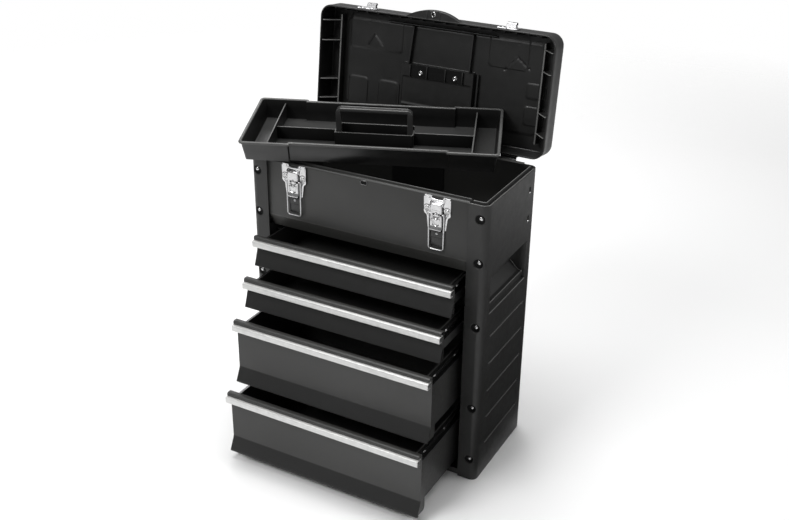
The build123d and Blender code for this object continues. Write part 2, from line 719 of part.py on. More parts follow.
def lid_shell():
    """Moulded lid: hollow, ribbed round its walls, with the handle well and the lock bulge."""
    inside = lid_wall
    top_under = lid_high - lid_wall
    well_floor = lid_high - well_depth
    with BuildPart() as lid:
        with BuildSketch(Plane.XY.offset(lid_low)):
            rounded_plan(lid_half, lid_front, lid_back, lid_corner)
        extrude(amount=lid_high - lid_low)
        fillet(lid.faces().sort_by(Axis.Z)[-1].edges(), lid_edge)
        with BuildSketch(Plane.XY.offset(lid_low)):
            with BuildLine():
                ThreePointArc(
                    (-bulge_half, lid_front + 1), (0, lid_front - bulge_reach), (bulge_half, lid_front + 1),
                )
                Line((bulge_half, lid_front + 1), (-bulge_half, lid_front + 1))
            make_face()
        extrude(amount=bulge_height)
        with BuildSketch(Plane.XY.offset(lid_low)):
            rounded_plan(lid_half - inside, lid_front + inside, lid_back - inside, lid_corner - inside)
        extrude(amount=top_under - lid_low, mode=Mode.SUBTRACT)
        with BuildSketch(Plane.XY.offset(well_under)):
            rounded_plan(well_half + well_wall, well_front - well_wall, well_back + well_wall,
                         well_corner + well_wall)
        extrude(amount=well_depth)
        with BuildSketch(Plane.XY.offset(well_floor)):
            rounded_plan(well_half, well_front, well_back, well_corner)
        extrude(amount=well_depth + 1, mode=Mode.SUBTRACT)
        with BuildSketch(Plane.XY.offset(well_floor - 0.5)):
            with Locations((0, (well_front + island_back) / 2)):
                Rectangle(2 * island_half, island_length + 2)
        extrude(amount=well_depth)
        with BuildSketch(Plane.XY.offset(well_floor - 3)):
            with Locations((0, (well_front + island_back) / 2)):
                Rectangle(2 * (island_half - island_wall), island_length - 4)
        extrude(amount=3.6, mode=Mode.SUBTRACT)
        bore_half = well_half + handle_pin_overhang + fit_gap
        with BuildSketch(Plane.YZ.offset(-bore_half)):
            with Locations((handle_pin_y, handle_pin_z)):
                Circle(handle_pin_radius + pin_clearance)
        extrude(amount=2 * bore_half, mode=Mode.SUBTRACT)
        with BuildSketch(Plane.XY.offset(lid_low)):
            with Locations((0, lid_front - bulge_reach + eye_inset)):
                Circle(eye_radius)
            with Locations(*bracket_screw_places):
                Circle(bracket_screw_shank + pin_clearance)
        extrude(amount=well_floor + 4 - lid_low, mode=Mode.SUBTRACT)
        rib_low = lid_low + lid_rib_lift
        rib_z, rib_tall = (rib_low + top_under) / 2, top_under - rib_low + 0.5
        half_count = int((lid_half - lid_corner) / lid_rib_pitch)
        front_ribs = [number * lid_rib_pitch for number in range(-half_count, half_count + 1)]
        with Locations(*[(x, lid_front + inside + lid_rib / 2 - 0.5, rib_z) for x in front_ribs]):
            Box(lid_rib_thick, lid_rib + 1, rib_tall)
        side_count = int((lid_back - lid_front - side_rib_start - side_rib_margin) / side_rib_pitch) + 1
        side_ribs = [lid_front + side_rib_start + number * side_rib_pitch for number in range(side_count)]
        rib_x = lid_half - inside - side_rib / 2 + 0.5
        with Locations(*[(sign * rib_x, y, rib_z) for sign in (-1, 1) for y in side_ribs]):
            Box(side_rib + 1, lid_rib_thick, rib_tall)
    return lid.part


save("lid_shell", opened(lid_shell()))

knuckle_pitch = 2 * hinge_half / knuckles
knuckle_length = knuckle_pitch - knuckle_gap
stop_reach = hinge_y - rear_face - 2 * stop_gap


def hinge_leaf_part(first, leaf_outline, curl_outline, with_stops):
    """A hinge leaf with every second knuckle, starting with knuckle number first."""
    starts = [-hinge_half + n * knuckle_pitch + knuckle_gap / 2 for n in range(first, knuckles, 2)]
    with BuildPart() as leaf:
        with BuildSketch(across(-hinge_half)):
            with BuildLine():
                Polyline(*leaf_outline, close=True)
            make_face()
        extrude(amount=2 * hinge_half)
        for start in starts:
            with BuildSketch(across(start)):
                with Locations((hinge_y, hinge_z)):
                    Circle(hinge_barrel)
                with BuildLine():
                    Polyline(*curl_outline, close=True)
                make_face()
            extrude(amount=knuckle_length)
        if with_stops:
            stop_x = [start + knuckle_length / 2 for start in (starts[0], starts[-1])]
            with Locations(*[(x, hinge_y, hinge_z - stop_reach / 2) for x in stop_x]):
                Box(knuckle_pitch - 2 * stop_inset, hinge_leaf, stop_reach)
        with BuildSketch(across(-hinge_half - 1)):
            with Locations((hinge_y, hinge_z)):
                Circle(hinge_rod_radius + pin_clearance)
        extrude(amount=2 * hinge_half + 2, mode=Mode.SUBTRACT)
    return leaf.part


body_leaf_face = rear_face + fit_gap
lid_leaf_face = lid_back + fit_gap
curl_edge = hinge_y + 0.4
low, high = hinge_z - hinge_barrel, hinge_z + hinge_barrel
body_leaf = [
    (body_leaf_face, low - leaf_lift - leaf_height),
    (body_leaf_face + hinge_leaf, low - leaf_lift - leaf_height),
    (body_leaf_face + hinge_leaf, low - leaf_lift), (body_leaf_face, low - leaf_lift),
]
body_curl = [
    (body_leaf_face, low - leaf_lift - 2), (curl_edge, low - 0.1), (curl_edge, low + hinge_leaf),
    (body_leaf_face, low - leaf_lift),
]
lid_leaf = [
    (lid_leaf_face, high + leaf_lift + 1), (lid_leaf_face + hinge_leaf, high + leaf_lift + 1),
    (lid_leaf_face + hinge_leaf, high + leaf_lift + 1 + leaf_height),
    (lid_leaf_face, high + leaf_lift + 1 + leaf_height),
]
lid_curl = [
    (lid_leaf_face, high + leaf_lift + 2), (lid_leaf_face, high - hinge_leaf), (curl_edge, high - hinge_leaf),
    (curl_edge, high), (lid_leaf_face + hinge_leaf, high + 0.4),
    (lid_leaf_face + hinge_leaf, high + leaf_lift + 2),
]
save("hinge_leaf_body", hinge_leaf_part(0, body_leaf, body_curl, False))
save("hinge_leaf_lid", opened(hinge_leaf_part(1, lid_leaf, lid_curl, True)))

with BuildPart() as hinge_rod:
    with BuildSketch(across(-hinge_half - hinge_rod_overhang)):
        with Locations((hinge_y, hinge_z)):
            Circle(hinge_rod_radius)
    extrude(amount=2 * (hinge_half + hinge_rod_overhang))
save("hinge_pin", hinge_rod.part)

catch_low = lid_low + catch_lift
catch_face = lid_front - fit_gap
catch_front = catch_face - catch_wall
hook_z = lid_low + hook_rise
hook_tip = catch_face - hook_reach
catch_outline = [
    (catch_face, catch_low), (catch_front, catch_low), (catch_front, hook_z - 8), (hook_tip + 2, hook_z - 4),
    (hook_tip, hook_z), (hook_tip, hook_z + 4), (hook_tip + 2, hook_z + 4), (hook_tip + 3, hook_z),
    (catch_front, hook_z), (catch_front, catch_low + catch_height), (catch_face, catch_low + catch_height),
]
catch_rivet_places = {
    side: [(sign * latch_x + dx, lid_low + catch_rivet_rise) for dx in (-catch_rivet_x, catch_rivet_x)]
    for side, sign in sides.items()
}
for side, sign in sides.items():
    with BuildPart() as catch:
        with BuildSketch(across(sign * latch_x - catch_half)):
            with BuildLine():
                Polyline(*catch_outline, close=True)
            make_face()
        extrude(amount=2 * catch_half)
        with BuildSketch(facing_front(catch_face + 1)):
            with Locations(*catch_rivet_places[side]):
                Circle(rivet_shank + pin_clearance)
        extrude(amount=catch_wall + 2.5, mode=Mode.SUBTRACT)
    save(f"lid_catch_{side}", opened(catch.part))

catch_places = catch_rivet_places["left"] + catch_rivet_places["right"]
catch_rivets = rivets(catch_places, facing_front(catch_front), catch_rivet_head, rivet_shank, catch_wall)
save("lid_catch_rivets", opened(catch_rivets))

# carry handle, folded into the well in the lid's top
arm_x = (well_half + island_half) / 2
with BuildPart() as carry_handle:
    with BuildSketch(Plane.XY.offset(handle_pin_z - handle_thick / 2)):
        with Locations((0, handle_pin_y + handle_reach - handle_bar / 2)):
            RectangleRounded(2 * (arm_x + handle_arm / 2), handle_bar, handle_corner)
        arm_length = handle_reach - handle_bar / 2
        for sign in (-1, 1):
            with Locations((sign * arm_x, handle_pin_y + arm_length / 2)):
                Rectangle(handle_arm, arm_length)
    extrude(amount=handle_thick)
    for sign in (-1, 1):
        with BuildSketch(Plane.YZ.offset(sign * arm_x - handle_arm / 2)):
            with Locations((handle_pin_y, handle_pin_z)):
                Circle(handle_thick / 2)
        extrude(amount=handle_arm)
    with BuildSketch(Plane.YZ.offset(-well_half)):
        with Locations((handle_pin_y, handle_pin_z)):
            Circle(handle_pin_radius + pin_clearance)
    extrude(amount=2 * well_half, mode=Mode.SUBTRACT)
save("carry_handle", opened(carry_handle.part))

with BuildPart() as handle_pin:
    with BuildSketch(Plane.YZ.offset(-well_half - handle_pin_overhang)):
        with Locations((handle_pin_y, handle_pin_z)):
            Circle(handle_pin_radius)
    extrude(amount=2 * (well_half + handle_pin_overhang))
save("handle_pin", opened(handle_pin.part))

bracket_under = well_under - fit_gap - bracket_thick
with BuildPart() as handle_bracket:
    with BuildSketch(Plane.XY.offset(bracket_under)):
        with Locations((0, (well_front + island_back) / 2)):
            Rectangle(2 * island_half, island_length)
        with Locations(*bracket_screw_places):
            Circle(bracket_screw_shank + pin_clearance, mode=Mode.SUBTRACT)
    extrude(amount=bracket_thick)
save("handle_bracket", opened(handle_bracket.part))

with BuildPart() as handle_screws:
    with BuildSketch(Plane.XY.offset(bracket_under - fit_gap)):
        with Locations(*bracket_screw_places):
            Circle(bracket_screw_head)
    extrude(amount=-2, taper=20)
    with BuildSketch(Plane.XY.offset(bracket_under - fit_gap)):
        with Locations(*bracket_screw_places):
            Circle(bracket_screw_shank)
    extrude(amount=5)
save("handle_screws", opened(handle_screws.part))


# ---------------------------------------------------------------- lift-out tray
def tray_outline(inset, height):
    """The tray's stepped plan at a height above its bottom: wide ends, narrower middle."""
    shrink = tray_draft * (1 - height / tray_height) + inset
    half, deep = tray_length / 2 - shrink, tray_depth / 2 - shrink
    step = tray_length / 2 - tray_end
    narrow = deep - tray_step
    return [
        (-half, -deep), (-step, -deep), (-step, -narrow), (step, -narrow), (step, -deep), (half, -deep),
        (half, deep), (step, deep), (step, narrow), (-step, narrow), (-step, deep), (-half, deep),
    ]


def tray_face(inset, height):
    with BuildSketch(Plane.XY.offset(height)) as section:
        with BuildLine():
            Polyline(*tray_outline(inset, height), close=True)
        make_face()
    return section.sketch.face()


with BuildPart() as tray:
    loft([tray_face(0, 0), tray_face(0, tray_height)])
    loft([tray_face(tray_wall, tray_wall), tray_face(tray_wall, tray_height + 0.01)], mode=Mode.SUBTRACT)
    with BuildSketch(Plane.XY.offset(tray_height - tray_rim_thick)):
        with BuildLine():
            Polyline(*tray_outline(-tray_rim, tray_height), close=True)
        make_face()
        with BuildLine():
            Polyline(*tray_outline(tray_wall, tray_height), close=True)
        make_face(mode=Mode.SUBTRACT)
    extrude(amount=tray_rim_thick)
    for sign in (-1, 1):
        with Locations((sign * (tray_length / 2 - divider_x), 0, tray_height / 2)):
            Box(tray_wall, tray_depth - 2 * tray_draft - tray_wall, tray_height - 2 * divider_drop)
    with BuildSketch(Plane.XY.offset(tray_wall - 0.5)):
        Rectangle(tray_length - 2 * divider_x, tray_wall)
        Rectangle(2 * trough_half + 2 * tray_wall, trough_depth + 2 * tray_wall)
    extrude(amount=long_divider)
    with BuildSketch(Plane.XY.offset(tray_wall)):
        Rectangle(2 * trough_half, trough_depth)
    extrude(amount=long_divider, mode=Mode.SUBTRACT)
save("tray", tray_place * tray.part)

handle_top = tray_height + tray_handle_rise
post_outer = trough_half - 0.3
with BuildPart() as tray_handle:
    with BuildSketch(Plane.XZ.offset(-trough_depth / 2 + 0.3)):
        with BuildLine():
            Polyline(
                (-post_outer, tray_wall + 0.1), (-post_outer, handle_top), (post_outer, handle_top),
                (post_outer, tray_wall + 0.1), (post_outer - tray_handle_bar, tray_wall + 0.1),
                (post_outer - tray_handle_bar, handle_top - tray_handle_bar),
                (-post_outer + tray_handle_bar, handle_top - tray_handle_bar),
                (-post_outer + tray_handle_bar, tray_wall + 0.1), close=True,
            )
        make_face()
    extrude(amount=trough_depth - 0.6)
    fillet(tray_handle.edges().filter_by(Axis.Y).group_by(Axis.Z)[-1], 4)
save("tray_handle", tray_place * tray_handle.part)
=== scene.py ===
"""Portable tool box with its lid open, its drawers drawn out and its lift-out tray lying askew on the rims.

All shapes are worked out in millimetres: X to the right, Y to the back, Z up, origin at the centre of
the base. Lid pieces are worked out on the closed lid and then swung open, and tray pieces in the tray's
own frame. Lengths become metres when a mesh is made.
"""
import math

import bmesh
import bpy
import numpy as np
from mathutils import Matrix, Vector


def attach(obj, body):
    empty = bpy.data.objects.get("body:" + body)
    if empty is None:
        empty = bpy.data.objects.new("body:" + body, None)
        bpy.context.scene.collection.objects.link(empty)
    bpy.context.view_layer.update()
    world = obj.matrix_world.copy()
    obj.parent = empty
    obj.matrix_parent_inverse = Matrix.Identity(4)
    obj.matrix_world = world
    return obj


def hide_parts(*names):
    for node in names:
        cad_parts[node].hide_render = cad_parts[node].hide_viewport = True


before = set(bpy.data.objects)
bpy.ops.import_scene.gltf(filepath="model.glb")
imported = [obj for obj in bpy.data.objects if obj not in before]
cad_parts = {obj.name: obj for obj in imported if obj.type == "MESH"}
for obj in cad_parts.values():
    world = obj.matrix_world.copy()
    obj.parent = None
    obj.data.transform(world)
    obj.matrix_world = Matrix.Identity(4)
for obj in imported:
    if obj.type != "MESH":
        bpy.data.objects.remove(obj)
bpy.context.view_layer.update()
millimetre = 0.001

# ---------------------------------------------------------------- sizes shared by the pieces
half_width, half_depth = 235.0, 105.0
cap_edge, cap_corner, cap_wall = 199.5, 13.0, 3.0
cap_flat_x, cap_flat_y = half_width - cap_corner, half_depth - cap_corner
rib_heights, rib_rear, rib_end_y = (67, 123, 179, 236, 292), 74, 73
rivet_heights = (45.7, 156.7, 322.0, 445.0, 525.5)
side_rivet_y, side_rivet_heights = 74, (455, 510)
panel_face, panel_foot, panel_half, front_half = -101.9, 443.5, 199.2, 198.8
drawer_tops, drawer_drops = (411.0, 342.15, 273.3, 137.2), (50.0, 50.0, 122.0, 122.0)
drawer_pulls = (56.5, 93.0, 131.6, 163.2)
latch_x, plate_face, pin_y, lever_pin_z, bail_pin_z = 142.0, -103.5, -106.2, 536, 518
lid_low, lid_high, lid_half, lid_front, lid_back, lid_corner = 553.3, 601.0, 237.0, -112.0, 108.0, 22.0
lid_round = 9.0
lid_flat_x, lid_flat_front, lid_flat_back = lid_half - lid_corner, lid_front + lid_corner, lid_back - lid_corner
hinge_y, hinge_z, lid_angle = 114.0, 548.0, 97
lock_eye_y = -120
tray_tilt, tray_turn, tray_place = 6.8, 21.8, (-41.0, 7.6, 570.5)
tray_half_width, tray_half_depth, tray_step, tray_corner, divider_x = 223, 89, 139.0, 6.0, 178


# ---------------------------------------------------------------- numbers and outlines
def smooth(value):
    """Runs from 0 to 1 as the value does, with level ends: 3 v squared minus 2 v cubed."""
    v = np.clip(value, 0.0, 1.0)
    return v * v * (3 - 2 * v)


def rise(value, at, soft=1.0):
    """0 below at and 1 above it, changing over a width of soft."""
    return smooth((value - at) / soft + 0.5)


def unit(rows):
    """Rows brought to a length of 1: each over the root of its squares' sum."""
    return rows / np.linalg.norm(rows, axis=1)[:, None]


def ways_left(run):
    """Directions to the left of a run of flat points: the step from neighbour to neighbour, a quarter turn on."""
    ahead = unit(np.gradient(run, axis=0))
    return np.column_stack([-ahead[:, 1], ahead[:, 0]])


def divided(path, parts):
    """A path with each of its stretches divided into equal parts."""
    stretches = zip(path[:-1], path[1:])
    return np.concatenate([np.linspace(a, b, parts + 1)[:-1] for a, b in stretches] + [path[-1:]])


def lines(low, high, coarse, *fine):
    """Numbers from low to high, coarse apart, and closer round each fine (centre, reach, step)."""
    marks = [np.arange(low, high, coarse)]
    marks += [np.arange(c - reach, c + reach + step / 2, step) for c, reach, step in fine]
    v = np.unique(np.round(np.concatenate(marks), 3))
    v = v[(v > low + 0.25) & (v < high - 0.25)]
    v = v[np.diff(v, prepend=low) > 0.22]
    return np.concatenate([[low], v, [high]])


def rounded(corners, radius, steps=4, closed=True):
    """Rounds the corners of a run of points: each becomes an arc that touches both of its edges.

    The arc's centre lies on the bisector, radius / sin(half the inside angle) from the corner, and its
    points turn evenly from one touching point to the other.
    """
    p = np.asarray(corners, float)
    radius = np.broadcast_to(np.asarray(radius, float), len(p))
    a, b = np.roll(p, 1, 0) - p, np.roll(p, -1, 0) - p
    la, lb = np.linalg.norm(a, axis=1), np.linalg.norm(b, axis=1)
    a, b = a / la[:, None], b / lb[:, None]
    half = np.clip(np.arccos(np.clip((a * b).sum(1), -1, 1)) / 2, 1e-3, math.pi / 2 - 1e-3)
    r = np.minimum(radius, 0.48 * np.minimum(la, lb) * np.tan(half))[:, None]
    middle = a + b
    middle /= np.maximum(np.linalg.norm(middle, axis=1), 1e-9)[:, None]
    centre = p + middle * r / np.sin(half)[:, None]
    u, v = p + a * r / np.tan(half)[:, None] - centre, p + b * r / np.tan(half)[:, None] - centre
    turn = (math.pi - 2 * half)[:, None, None]
    k = np.linspace(0, 1, steps + 1)[None, :, None]
    arcs = centre[:, None] + (np.sin((1 - k) * turn) * u[:, None] + np.sin(k * turn) * v[:, None]) / np.sin(turn)
    if not closed:
        return np.vstack([p[:1], arcs[1:-1].reshape(-1, p.shape[1]), p[-1:]])
    return arcs.reshape(-1, p.shape[1])


def plate_mask(x, y, x0, x1, y0, y1, radius, soft=1.2):
    """1 inside a rectangle with rounded corners and 0 outside, from the distance to its edge."""
    qx = np.abs(x - (x0 + x1) / 2) - (x1 - x0) / 2 + radius
    qy = np.abs(y - (y0 + y1) / 2) - (y1 - y0) / 2 + radius
    away = np.minimum(np.maximum(qx, qy), 0) + np.hypot(np.maximum(qx, 0), np.maximum(qy, 0)) - radius
    return smooth(0.5 - away / soft)


def stroke_mask(x, y, points, half, soft=1.0):
    """1 within half of a run of straight strokes and 0 away from it, from the least distance to them."""
    best = np.full(np.shape(x), 1e9)
    for (x0, y0), (x1, y1) in zip(points[:-1], points[1:]):
        dx, dy = x1 - x0, y1 - y0
        t = np.clip(((x - x0) * dx + (y - y0) * dy) / (dx * dx + dy * dy), 0, 1)
        best = np.minimum(best, np.hypot(x - x0 - t * dx, y - y0 - t * dy))
    return smooth((half - best) / soft + 0.5)


def opened(points):
    """Swings points of the closed lid open: a turn backwards about the hinge line by the lid's angle."""
    c, s = math.cos(math.radians(lid_angle)), math.sin(math.radians(lid_angle))
    y, z = points[..., 1] - hinge_y, points[..., 2] - hinge_z
    return np.stack([points[..., 0], hinge_y + y * c + z * s, hinge_z - y * s + z * c], -1)


def tray_laid(points):
    """Lays points of the tray's own frame on the rims: tilted about X, turned about Z, and lifted."""
    t, w = math.radians(tray_tilt), math.radians(tray_turn)
    x, y, z = points[..., 0], points[..., 1], points[..., 2]
    y, z = y * math.cos(t) - z * math.sin(t), y * math.sin(t) + z * math.cos(t)
    x, y = x * math.cos(w) - y * math.sin(w), x * math.sin(w) + y * math.cos(w)
    return np.stack([x, y, z], -1) + tray_place


# ---------------------------------------------------------------- shapes
class Shape:
    """A growing set of points with the faces between them; each point keeps the tag of its time."""

    def __init__(self, place=None):
        self.place, self.points, self.faces, self.count = place, [], [], 0
        self.tag, self.tags = 0.0, []

    def grid(self, points, around=False, along=False, cap=False):
        """Joins a grid of points (rows, columns, 3) by four-sided faces.

        around joins the last column to the first, along the last row to the first, and cap closes the
        first and the last row with one face each. Each row takes its value of the current tag.
        """
        points = np.asarray(points, float)
        rows, columns = points.shape[:2]
        index = self.count + np.arange(rows * columns).reshape(rows, columns)
        self.points.append(points.reshape(-1, 3))
        self.tags.append(np.repeat(np.broadcast_to(self.tag, rows).astype(float), columns))
        self.count += rows * columns
        body = np.vstack([index, index[:1]]) if along else index
        body = np.hstack([body, body[:, :1]]) if around else body
        quads = np.stack([body[:-1, :-1], body[:-1, 1:], body[1:, 1:], body[1:, :-1]], -1)
        self.faces += quads.reshape(-1, 4).tolist()
        if cap:
            self.faces += [index[0][::-1].tolist(), index[-1].tolist()]

    def tube(self, rings):
        """A closed solid from rings of points, with a face over each end."""
        self.grid(rings, around=True, cap=True)

    def prism(self, outline, low, high, axis=2, bevel=0.0):
        """An outline carried straight along an axis, from low to high or from high to low.

        bevel draws both ends in a little: each end point moves by it towards the outline's middle.
        """
        low, high = min(low, high), max(low, high)
        outline = np.asarray(outline, float)
        inward = outline.mean(0) - outline
        inset = outline + bevel * inward / np.maximum(np.linalg.norm(inward, axis=1), 1e-6)[:, None]
        levels = [(low, inset), (low + bevel, outline), (high - bevel, outline), (high, inset)]
        if not bevel:
            levels = levels[1:3]
        rings = [np.insert(flat, axis, level, axis=1) for level, flat in levels]
        self.tube(np.stack(rings))

    def block(self, low, high, radius=0.6, steps=2):
        """A box with softened edges between any two opposite corners.

        A ball's grid of directions, each pushed out to its own corner.
        """
        low, high = np.minimum(low, high).astype(float), np.maximum(low, high).astype(float)
        r = min(radius, 0.49 * (high - low).min())
        quarter = np.linspace(0, 90, steps + 1)
        around = np.radians(np.concatenate([quarter, quarter + 90, quarter + 180, quarter + 270]))[None]
        up = np.radians(np.concatenate([quarter - 90, quarter]))[:, None]
        turn = np.repeat([[1, 1], [-1, 1], [-1, -1], [1, -1]], steps + 1, axis=0)
        way = np.stack(np.broadcast_arrays(np.cos(up) * np.cos(around), np.cos(up) * np.sin(around), np.sin(up)), -1)
        side = np.stack(np.broadcast_arrays(turn[None, :, 0], turn[None, :, 1], np.where(
            np.arange(up.size)[:, None] <= steps, -1, 1)), -1)
        self.tube((low + high) / 2 + side * ((high - low) / 2 - r) + way * r)

    def turned(self, centres, out, profile, columns=20):
        """Round pieces: a profile of (radius, height) turned about the direction out at each centre."""
        out = np.asarray(out, float)
        first = np.cross(out, (0.31, 0.52, 0.79))
        first /= np.linalg.norm(first)
        second = np.cross(out, first)
        angle = np.linspace(0, 2 * math.pi, columns, endpoint=False)[None, :, None]
        profile = np.asarray(profile, float)
        ring = np.cos(angle) * first + np.sin(angle) * second
        solid = profile[:, None, :1] * ring + profile[:, None, 1:] * out
        for centre in np.atleast_2d(centres):
            self.tube(centre + solid)

    def wire(self, path, radius, flat, columns=12, closed=False):
        """A round wire: circles of the radius across the path, whose plane has the direction flat."""
        path, flat = np.asarray(path, float), np.asarray(flat, float)
        step = np.roll(path, -1, 0) - path
        if not closed:
            step[-1] = step[-2]
        step = unit(step)
        ahead = unit(step + (np.roll(step, 1, 0) if closed else np.vstack([step[:1], step[:-1]])))
        side = unit(np.cross(ahead, flat))
        angle = np.linspace(0, 2 * math.pi, columns, endpoint=False)[None, :, None]
        radius = np.broadcast_to(np.asarray(radius, float), len(path))[:, None, None]
        rings = path[:, None] + radius * (np.cos(angle) * side[:, None] + np.sin(angle) * flat)
        self.grid(rings, around=True, along=closed, cap=not closed)


def linked(name, data):
    """Puts a mesh, a light or a camera into the scene."""
    made = bpy.data.objects.new(name, data)
    bpy.context.scene.collection.objects.link(made)
    return made


def piece(name, shape, body, material, stands_for=(), sharp=32, facing=None, thickness=0.0):
    """Makes the mesh: welds points that meet, turns the faces outwards, and hands the piece to its body.

    A sheet has a direction that it faces and gets its thickness behind that face.
    """
    points = np.concatenate(shape.points)
    points = (shape.place(points) if shape.place else points) * millimetre
    mesh = bpy.data.meshes.new(name)
    mesh.from_pydata(points.tolist(), [], shape.faces)
    tags = np.concatenate(shape.tags)
    if tags.any():
        mesh.attributes.new("inside", "FLOAT", "POINT").data.foreach_set("value", tags)
    work = bmesh.new()
    work.from_mesh(mesh)
    bmesh.ops.remove_doubles(work, verts=work.verts, dist=2e-5)
    bmesh.ops.dissolve_degenerate(work, edges=work.edges, dist=1e-6)
    bmesh.ops.recalc_face_normals(work, faces=work.faces)
    if facing is not None:
        way = Vector(facing)
        if sum(f.normal.dot(way) * f.calc_area() for f in work.faces) < 0:
            bmesh.ops.reverse_faces(work, faces=work.faces)
    work.to_mesh(mesh)
    work.free()
    mesh.shade_smooth()
    mesh.set_sharp_from_angle(angle=math.radians(sharp))
    made = linked(name, mesh)
    made.data.materials.append(material)
    if thickness:
        wall = made.modifiers.new("wall", "SOLIDIFY")
        wall.thickness, wall.offset = thickness * millimetre, -1
    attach(made, body)
    if stands_for:
        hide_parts(*stands_for)


# ---------------------------------------------------------------- finishes
class Finish:
    """A procedural material under construction, with its pattern in the object's own metres."""

    def __init__(self, name, metallic=0.0, specular=0.5):
        self.material = bpy.data.materials.new(name)
        self.material.use_nodes = True
        self.tree = self.material.node_tree
        self.shader = self.tree.nodes["Principled BSDF"]
        self.shader.inputs["Metallic"].default_value = metallic
        self.shader.inputs["Specular IOR Level"].default_value = specular
        self.where = self.node("TexCoord").outputs["Object"]

    def node(self, kind, **values):
        """Adds a shader node of a kind and sets its own values."""
        made = self.tree.nodes.new("ShaderNode" + kind)
        for key, value in values.items():
            setattr(made, key, value)
        return made

    def noise(self, scale, detail=3.0, rough=0.5, stretch=None):
        """Smooth noise, so many features to a metre, stretched by three factors where they are given."""
        made = self.node("TexNoise")
        made.inputs["Scale"].default_value = scale
        made.inputs["Detail"].default_value = detail
        made.inputs["Roughness"].default_value = rough
        where = self.where
        if stretch:
            mapping = self.node("Mapping")
            mapping.inputs["Scale"].default_value = stretch
            self.tree.links.new(where, mapping.inputs["Vector"])
            where = mapping.outputs["Vector"]
        self.tree.links.new(where, made.inputs["Vector"])
        return made.outputs["Fac"]

    def span(self, value, low, high, start=0.3, end=0.7):
        """Maps start..end of a value to low..high."""
        made = self.node("MapRange")
        made.inputs["From Min"].default_value, made.inputs["From Max"].default_value = start, end
        made.inputs["To Min"].default_value, made.inputs["To Max"].default_value = low, high
        self.tree.links.new(value, made.inputs["Value"])
        return made.outputs["Result"]

    def colours(self, value, first, second):
        """Blends two colours by a value."""
        made = self.node("Mix", data_type="RGBA")
        self.tree.links.new(value, made.inputs["Factor"])
        made.inputs["A"].default_value, made.inputs["B"].default_value = (*first, 1), (*second, 1)
        return made.outputs["Result"]

    def lighter_where(self, base, value, colour):
        """Lays a colour over the base by a value."""
        made = self.node("Mix", data_type="RGBA")
        self.tree.links.new(value, made.inputs["Factor"])
        self.tree.links.new(base, made.inputs["A"])
        made.inputs["B"].default_value = (*colour, 1)
        return made.outputs["Result"]

    def bump(self, height, strength, depth, under=None):
        """Raises the surface by a height in metres, over an earlier bump if there is one."""
        made = self.node("Bump")
        made.inputs["Strength"].default_value, made.inputs["Distance"].default_value = strength, depth
        self.tree.links.new(height, made.inputs["Height"])
        if under:
            self.tree.links.new(under, made.inputs["Normal"])
        return made.outputs["Normal"]

    def wire_up(self, colour=None, roughness=None, normal=None):
        """Leads the patterns that are given to the shader and returns the finished material."""
        for socket, value in (("Base Color", colour), ("Roughness", roughness), ("Normal", normal)):
            if value is not None:
                self.tree.links.new(value, self.shader.inputs[socket])
        return self.material


def moulded(name, shade, roughness, grain=0.35, scale=1400.0, specular=0.5, lit_floor_shade=None):
    """Moulded plastic: a fine stipple, slow changes of gloss, and sharp edges painted lighter, partly as rubbing and
    partly as a painted highlight.

    Where a floor shade is given, floors are painted paler, a painted light from above that the walls don't get: the
    points' inside value is 1 on walls and 2 on floors.
    """
    f = Finish(name, specular=specular)
    cloud = f.noise(14.0, 4.0, 0.6)
    colour = f.colours(f.span(cloud, 0, 1), [v * 0.86 for v in shade], [v * 1.14 for v in shade])
    # sharp edges lighter by pointiness: partly rubbing, partly a painted highlight where rims catch the light
    worn_and_highlit = f.span(f.node("NewGeometry").outputs["Pointiness"], 0.0, 0.35, 0.53, 0.62)
    colour = f.lighter_where(colour, worn_and_highlit, [v * 2.4 + 0.012 for v in shade])
    if lit_floor_shade:
        inside = f.node("Attribute", attribute_name="inside").outputs["Fac"]
        # painted light: the floors are laid over paler than the walls
        colour = f.lighter_where(colour, f.span(inside, 0.0, 1.0, 1.0, 2.0), lit_floor_shade)
    stipple = f.bump(f.noise(scale, 2.0, 0.6), grain, 0.00012)
    wave = f.bump(f.noise(30.0, 2.0), 0.10, 0.0006, stipple)
    return f.wire_up(colour, f.span(f.noise(60.0, 5.0, 0.7), roughness - 0.05, roughness + 0.07), wave)


def painted(name, shade, roughness, peel=0.12):
    """Powder-coated sheet: orange peel over a faint unevenness of the sheet."""
    f = Finish(name)
    cloud = f.noise(7.0, 3.0, 0.55)
    colour = f.colours(f.span(cloud, 0, 1), [v * 0.9 for v in shade], [v * 1.1 for v in shade])
    peeled = f.bump(f.noise(900.0, 3.0, 0.6), peel, 0.00015)
    sheet = f.bump(f.noise(9.0, 1.0), 0.12, 0.0012, peeled)
    return f.wire_up(colour, f.span(f.noise(120.0, 4.0, 0.65), roughness - 0.04, roughness + 0.06), sheet)


def metal(name, shade, roughness, stretch=None, scale=40.0, scratch=0.12, metallic=1.0):
    """Bright metal: fine scratches, drawn out along the way it was brushed, and uneven polish."""
    f = Finish(name, metallic=metallic)
    marks = f.noise(scale, 6.0, 0.7, stretch)
    colour = f.colours(f.span(f.noise(90.0, 3.0), 0, 1), [v * 0.9 for v in shade], shade)
    return f.wire_up(colour, f.span(marks, roughness * 0.7, roughness * 1.4), f.bump(marks, scratch, 0.0001))


